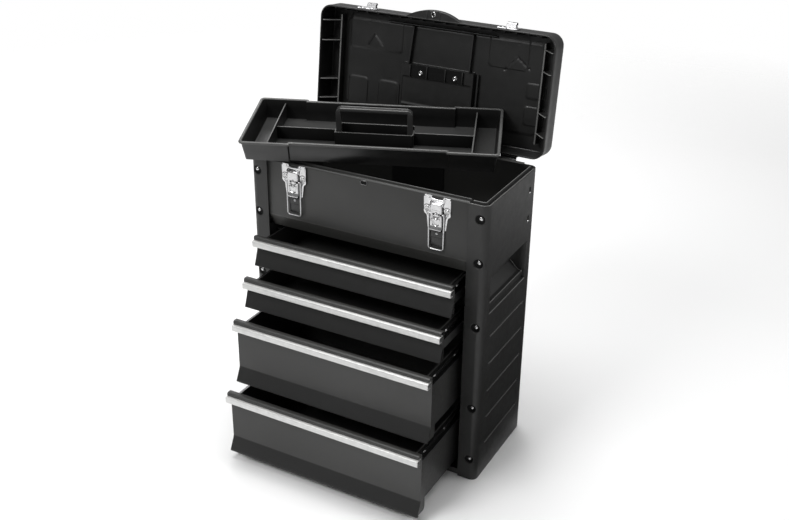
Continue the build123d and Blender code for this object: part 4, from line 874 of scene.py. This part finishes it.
def lock_bulge():
    """The forward bulge with its eye: rings round the eye, out to a chord at the lid and a wide arc.

    Along a direction from the eye with sine s, the chord lies at its distance / s. The arc, whose centre
    is set back behind the eye, lies at -s b + root(s s b b - b b + r r), with b minus the set-back.
    """
    set_back, arc_radius, chord_gap = 99.0, 106.0, 11.0
    turn = np.radians(np.arange(0, 360, 2.5))
    c, s = np.cos(turn), np.sin(turn)
    dot = s * (-set_back)
    arc = -dot + np.sqrt(dot * dot - set_back ** 2 + arc_radius ** 2)
    chord = np.where(s > 1e-6, chord_gap / np.maximum(s, 1e-6), 1e9)
    far = np.minimum(arc, chord)

    def ring(radius, z):
        """A ring round the eye, with its radius given for every direction."""
        return np.column_stack([radius * c, lock_eye_y + radius * s, np.broadcast_to(z, c.shape)])

    shape = Shape(opened)
    crown = 567.2 - 3.0 * smooth((far - 14) / 40)
    rings = [(3.6, 554.2), (3.9, 553.6), (4.3, 553.4), (5.2, 553.4), (far - 1.2, 553.4), (far - 0.3, 553.8),
             (far, 554.8), (far, crown - 2.2), (far - 0.5, crown - 0.8), (far - 1.8, crown),
             (far * 0.55 + 2.5, 567.3), (6.6, 567.3), (6.2, 566.2), (4.4, 566.2), (3.9, 566.0), (3.6, 565.4)]
    shape.grid(np.stack([ring(*r) for r in rings]), around=True, along=True)
    for x in (-13, 13):
        shape.block((x - 0.9, -123.5, 552.6), (x + 0.9, -109, 556), 0.5)
    return shape


piece("lock_bulge", lock_bulge(), "lid", lid_plastic, (), 34)
grommet = Shape(opened)
around = np.radians(np.arange(0, 360, 15))
circle = np.column_stack([4.3 * np.cos(around), lock_eye_y + 4.3 * np.sin(around), np.full(24, 553.5)])
grommet.wire(circle, 0.75, (0, 0, 1), 10, True)
piece("lock_eye_ring", grommet, "lid", rivet_metal, (), 60)


def catch(x0):
    """Hooked catch: a run of (y, z) points from the foot up over the hook, as wide as its height says."""
    run = rounded([(-112.2, 557.6), (-112.2, 573.0), (-113.0, 577.6), (-119.8, 580.6), (-120.6, 585.4),
                   (-118.2, 586.0), (-116.4, 583.2), (-112.4, 582.8), (-112.2, 588.0)],
                   [0, 2, 2, 1.6, 0.9, 0.9, 1.2, 1.2, 0], 3, closed=False)
    share = np.linspace(0, 1, len(run))
    wide = np.interp(share, [0, 0.05, 0.14, 0.22, 0.9, 1.0], [19.0, 21, 21, 9.0, 9.0, 8.4])
    u = np.linspace(-1, 1, 31)
    shape = Shape(opened)
    ax = np.abs(u * wide[:, None])
    y = run[:, None, 0] - 0.7 * smooth((2.6 - ax) / 1.6) * (run[:, None, 1] < 574) - 0.8 * smooth((ax - 17.6) / 1.4)
    shape.grid(np.stack(np.broadcast_arrays(x0 + u[None] * wide[:, None], y, run[:, None, 1]), -1))
    return shape


for side, sign in (("left", -1), ("right", 1)):
    name = f"lid_catch_{side}"
    piece(f"{name}_hook", catch(sign * latch_x), "lid", catch_metal, (name,), 45, (0, 0, 1), -1.2)
catch_rivets = Shape(opened)
catch_rivets.turned([(s * latch_x + d, -113.3, 564) for s in (-1, 1) for d in (-10, 10)], (0, -1, 0),
                    [(0.001, -1.5), (1.8, -1.5), (1.8, 0), (3.1, 0), (3.2, 0.4), (2.7, 1.1), (1.5, 1.6),
                     (0.001, 1.75)])
piece("lid_catch_rivet_heads", catch_rivets, "lid", rivet_metal, ("lid_catch_rivets",), 50)

bracket_screws = Shape(opened)
bracket_screws.turned([(s * 35.5 + 3.0, -5.0, 585.2) for s in (-1, 1)], (0, 0, -1),
                      [(0.001, -3), (1.5, -3), (1.5, 0), (4.9, 0), (5.1, 0.6), (4.4, 1.7), (2.8, 2.5), (1.6, 1.8),
                       (0.001, 1.6)])
piece("bracket_screw_heads", bracket_screws, "lid", rivet_metal, ("handle_screws",), 50)


def carry_handle():
    """Fold-down handle: a rounded section carried round a U, wider along the grip than in the arms."""
    path = rounded([(-62.5, -9.5), (-62.5, 40.0), (62.5, 40.0), (62.5, -9.5)], [0, 13, 13, 0], 10, closed=False)
    run = divided(path, 4)
    out = ways_left(run)
    grip = smooth((run[:, 1] - 24) / 16) * smooth((64 - np.abs(run[:, 0])) / 14)
    wide = 4.4 + 4.6 * grip
    scallop = 0.7 * grip * (0.5 + 0.5 * np.cos(run[:, 0] * 2 * math.pi / 21))
    angle = np.linspace(0, 2 * math.pi, 28, endpoint=False)
    ca, sa = np.cos(angle), np.sin(angle)
    square = (np.abs(ca) ** 4 + np.abs(sa) ** 4) ** -0.25
    across, up = ca * square, sa * square * 4.4
    spread = np.where(across[None] < 0, wide[:, None] - scallop[:, None], wide[:, None])
    flat = run[:, None] + out[:, None] * (across[None] * spread)[..., None]
    shape = Shape(opened)
    shape.tube(np.concatenate([flat, 594.5 + np.broadcast_to(up, flat.shape[:2])[..., None]], -1))
    shape.turned([(-66.9, -8.5, 594.5), (58.1, -8.5, 594.5)], (1, 0, 0),
                 [(0.001, 0), (4.0, 0), (4.5, 0.6), (4.5, 8.2), (4.0, 8.8), (0.001, 8.8)], 24)
    return shape


piece("carry_handle_grip", carry_handle(), "carry_handle", handle_plastic, ("carry_handle",), 40)


# ---------------------------------------------------------------- lift-out tray
def tray_ring(inset, z):
    """The tray's stepped outline at an inset, with its outer corners rounded more than its steps."""
    half, deep, step = tray_half_width - inset, tray_half_depth - inset, tray_step
    narrow = deep - 5
    out = max(min(inset, 0.0), -3.0)
    run = [(-half, -deep), (-step - out, -deep), (-step - out + 0.6, -narrow), (step + out - 0.6, -narrow),
           (step + out, -deep), (half, -deep), (half, deep), (step + out, deep), (step + out - 0.6, narrow),
           (-step - out + 0.6, narrow), (-step - out, deep), (-half, deep)]
    big = max(tray_corner - inset * 0.5, 1.5)
    flat = rounded(run, [big, 1.0, 1.0, 1.0, 1.0, big, big, 1.0, 1.0, 1.0, 1.0, big], 5)
    return np.column_stack([flat, np.full(len(flat), z)])


def tray():
    """The tray: rings up the drafted outer wall, over the rolled rim and down inside to the floor."""
    shape = Shape(tray_laid)
    rings = [(7.2, 0.0), (6.3, 0.3), (5.9, 1.0), (3.0, 19), (0.4, 35.2), (0.1, 35.8), (-0.4, 36.1), (-1.4, 36.0),
             (-2.2, 35.9), (-2.5, 36.3), (-2.6, 37.2), (-2.3, 37.8), (-1.7, 38.1), (0.6, 38.1), (1.4, 37.8),
             (1.7, 37.2), (1.8, 36.4), (4.9, 20), (7.8, 3.2), (8.2, 2.4), (9.0, 2.1)]
    shape.tube(np.stack([tray_ring(*r) for r in rings]))
    return shape


def tray_lining():
    """A thin skin up the inner walls and over the floor, with the dividers and the handle's box; its floor rings carry
    the tag that the lining's finish paints paler, as painted light.
    """
    shape = Shape(tray_laid)
    rings = [(9.4, 2.0), (8.2, 2.2), (4.9, 20), (2.0, 35.9), (2.25, 36.1), (5.1, 20), (8.0, 3.5), (8.5, 2.6),
             (9.4, 2.35)]
    # walls tagged 1, floor tagged 2: the floor gets the painted light
    shape.tag = np.repeat([1.0, 2.0], [7, 2])
    shape.tube(np.stack([tray_ring(*r) for r in rings]))
    shape.tag = 1.0
    wall = rounded([(-81.4, 2.2), (-85.0, 30.0), (-84.0, 32.0), (84.0, 32.0), (85.0, 30.0), (81.4, 2.2)],
                   [0.3, 1.2, 1.2, 1.2, 1.2, 0.3], 3)
    for sign in (-1, 1):
        x = sign * divider_x
        carried(shape, wall, x - 1.0, x + 1.0, 0.5)
        shape.block((sign * 68, -1.1, 1.5), (x, 1.1, 26), 0.7)
    for x0, x1, y0, y1, top in ((-70.5, 70.5, -12, -10, 26), (-70.5, 70.5, 10, 12, 34), (-70.5, -68.5, -12, 12, 26),
                                (68.5, 70.5, -12, 12, 26)):
        shape.block((x0, y0, 1.5), (x1, y1, top), 0.7)
    return shape


piece("tray_moulding", tray(), "tray", tray_plastic, ("tray",), 32)
piece("tray_inner_skin", tray_lining(), "tray", lit_floor_lining_plastic, (), 32)
# paler beads round the tray's rim and along the divider and box tops: painted highlights
bead = Shape(tray_laid)
round_rim = [(-1.3, 34.9), (-2.3, 34.5), (-2.9, 34.9), (-3.1, 35.8), (-3.1, 37.3), (-2.6, 38.2), (-1.8, 38.7),
             (0.8, 38.7), (1.7, 38.3), (2.2, 37.6), (2.3, 36.8), (1.2, 36.5), (-0.8, 36.5), (-1.2, 35.8)]
bead.grid(np.stack([tray_ring(*r) for r in round_rim]), around=True, along=True)
for sign in (-1, 1):
    bead.block((sign * divider_x - 1.15, -83.6, 31.2), (sign * divider_x + 1.15, 83.6, 32.4), 0.5)
    bead.block((sign * 70, -1.25, 25.2), (sign * 177, 1.25, 26.4), 0.5)
    bead.block((sign * 69.5 - 1.2, -12.2, 25.2), (sign * 69.5 + 1.2, 12.2, 26.4), 0.5)
bead.block((-70.7, -12.2, 25.2), (70.7, -9.8, 26.4), 0.5)
# two pale lines along the handle's bar: painted highlights
grip_highlight_lines = Shape(tray_laid)
for y in (-4.7, 4.7):
    grip_highlight_lines.block((-60.0, y - 0.9, 68.6), (60.0, y + 0.9, 69.9), 0.5)
bead.block((-70.7, 9.8, 33.2), (70.7, 12.2, 34.4), 0.5)
piece("tray_painted_highlight_edges", bead, "tray", rim_highlight_plastic, (), 40)
piece("tray_grip_edges", grip_highlight_lines, "tray", pale_highlight_plastic, (), 40)


def tray_handle():
    """The tray's handle: a section grooved on its outer side, carried up a post, along a thinner bar and down."""
    path = rounded([(-63.7, 2.2), (-63.7, 65.0), (63.7, 65.0), (63.7, 2.2)], [0, 4.6, 4.6, 0], 6, closed=False)
    run = divided(path, 3)
    out = ways_left(run)
    section = rounded([(4.5, -5.4), (4.5, -3.6), (2.2, -3.3), (2.2, 3.3), (4.5, 3.6), (4.5, 5.4), (-4.5, 5.4),
                       (-4.5, -5.4)], 0.5, 3)
    bar = smooth((63.0 - np.abs(run[:, 0])) / 4.0)[:, None, None]
    flat = run[:, None] + out[:, None] * (section[None, :, :1] * (1 - 0.36 * bar) + 1.62 * bar)
    depth = np.broadcast_to(section[None, :, 1:], (*flat.shape[:2], 1))
    shape = Shape(tray_laid)
    shape.tube(np.concatenate([flat[..., :1], depth, flat[..., 1:]], -1))
    return shape


piece("tray_grip", tray_handle(), "tray", grip_plastic, ("tray_handle",), 34)


# ---------------------------------------------------------------- finishes of the sheet metal that stays
for node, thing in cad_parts.items():
    if node.endswith("_runners") or node.startswith("slide_channels"):
        finish = black_rail
    elif node.endswith("_box") or node in ("compartment_floor", "side_sheet_left", "side_sheet_right"):
        finish = lit_inner_steel
    elif node.startswith("hinge_leaf"):
        finish = black_steel
    elif node == "handle_bracket":
        finish = black_and_shade_plastic
    elif node in ("hinge_pin", "handle_pin", "latch_pins"):
        finish = rivet_metal
    elif node == "compartment_back_plate":
        finish = black_plastic
    elif node in ("back_panel", "base_pan"):
        finish = lit_back_steel
    else:
        continue
    thing.data.materials.clear()
    thing.data.materials.append(finish)


# ---------------------------------------------------------------- studio
def stage_finish():
    """The pale floor: nearly white, barely uneven, and fading into the white studio from 1.9 to 3.1 m out."""
    f = Finish("pale floor")
    f.shader.inputs["Roughness"].default_value = 0.9
    away = f.node("VectorMath", operation="LENGTH")
    f.tree.links.new(f.where, away.inputs[0])
    f.tree.links.new(f.span(away.outputs["Value"], 1.0, 0.0, 1.9, 3.1), f.shader.inputs["Alpha"])
    return f.wire_up(f.colours(f.noise(1.2, 2.0), (0.91, 0.91, 0.91), (0.94, 0.94, 0.94)))


def level_sheet(name, x0, x1, y0, y1, z, material):
    """A level rectangle of the studio, in metres."""
    mesh = bpy.data.meshes.new(name)
    mesh.from_pydata([(x0, y0, z), (x1, y0, z), (x1, y1, z), (x0, y1, z)], [], [(0, 1, 2, 3)])
    mesh.materials.append(material)
    return linked(name, mesh)


reach = 14.0
floor = level_sheet("floor", -reach, reach, -reach, reach, 0, stage_finish())
# a black card on the floor behind and to the right, which only reflections see
card_black = Finish("black card", specular=0.0)
card_black.shader.inputs["Base Color"].default_value = (0.002, 0.002, 0.002, 1)
card = level_sheet("black card", 0.25, 1.05, -0.25, 1.05, 0.004, card_black.material)
card.visible_camera = card.visible_diffuse = card.visible_shadow = False


def softbox(name, place, target, size, power, spread=180):
    """A soft studio light: a rectangle at place, facing the target."""
    light = bpy.data.lights.new(name, "AREA")
    light.shape, light.size, light.size_y, light.energy = "RECTANGLE", size[0], size[1], power
    light.spread = math.radians(spread)
    lamp = linked(name, light)
    lamp.location = place
    lamp.rotation_euler = (Vector(target) - Vector(place)).to_track_quat("-Z", "Y").to_euler()
    return lamp


softbox("key softbox", (-0.9, -2.2, 2.6), (0.0, -0.1, 0.35), (1.2, 1.2), 46)
softbox("top softbox", (-0.2, 0.2, 3.0), (0.0, 0.0, 0.3), (1.6, 1.6), 72)
softbox("side softbox", (1.5, 0.45, 1.2), (0.24, 0.0, 0.66), (0.5, 0.5), 0.95, 50)
softbox("backdrop softbox", (-3.2, 4.2, 3.6), (-3.2, 4.2, 0.0), (2.5, 2.5), 150, 130)
fill = softbox("compartment fill", (0.06, -0.082, 0.549), (0.07, 0.1, 0.46), (0.26, 0.03), 0.05)
fill.visible_glossy = False
world = bpy.data.worlds.new("studio")
bpy.context.scene.world = world
world.use_nodes = True
tree = world.node_tree
backdrop = tree.nodes["Background"]
backdrop.inputs["Color"].default_value = (1, 1, 1, 1)
dim = tree.nodes.new("ShaderNodeMapRange")
dim.inputs["To Min"].default_value, dim.inputs["To Max"].default_value = 0.22, 1.0
tree.links.new(tree.nodes.new("ShaderNodeLightPath").outputs["Is Camera Ray"], dim.inputs["Value"])
tree.links.new(dim.outputs["Result"], backdrop.inputs["Strength"])
bpy.context.scene.view_settings.view_transform = "Standard"

# ---------------------------------------------------------------- camera
camera = bpy.data.cameras.new("camera")
photo_width, focal_length, film_width = 789.0, 1076.06, 36.0  # pixels, pixels, millimetres
camera.sensor_fit, camera.sensor_width, camera.lens = "HORIZONTAL", film_width, focal_length * film_width / photo_width
camera.clip_end = 60.0
eye = linked("camera", camera)
azimuth, elevation, roll = math.radians(28.520), math.radians(26.558), math.radians(0.554)
right = Vector((math.cos(azimuth), math.sin(azimuth), 0))
back = Vector((math.sin(azimuth) * math.cos(elevation), -math.cos(azimuth) * math.cos(elevation),
               math.sin(elevation)))
up = back.cross(right)
turned_right, turned_up = right * math.cos(roll) + up * math.sin(roll), up * math.cos(roll) - right * math.sin(roll)
camera_place = Matrix.Translation((0.86086, -1.57346, 1.24818))
eye.matrix_world = camera_place @ Matrix((turned_right, turned_up, back)).transposed().to_4x4()
bpy.context.scene.camera = eye
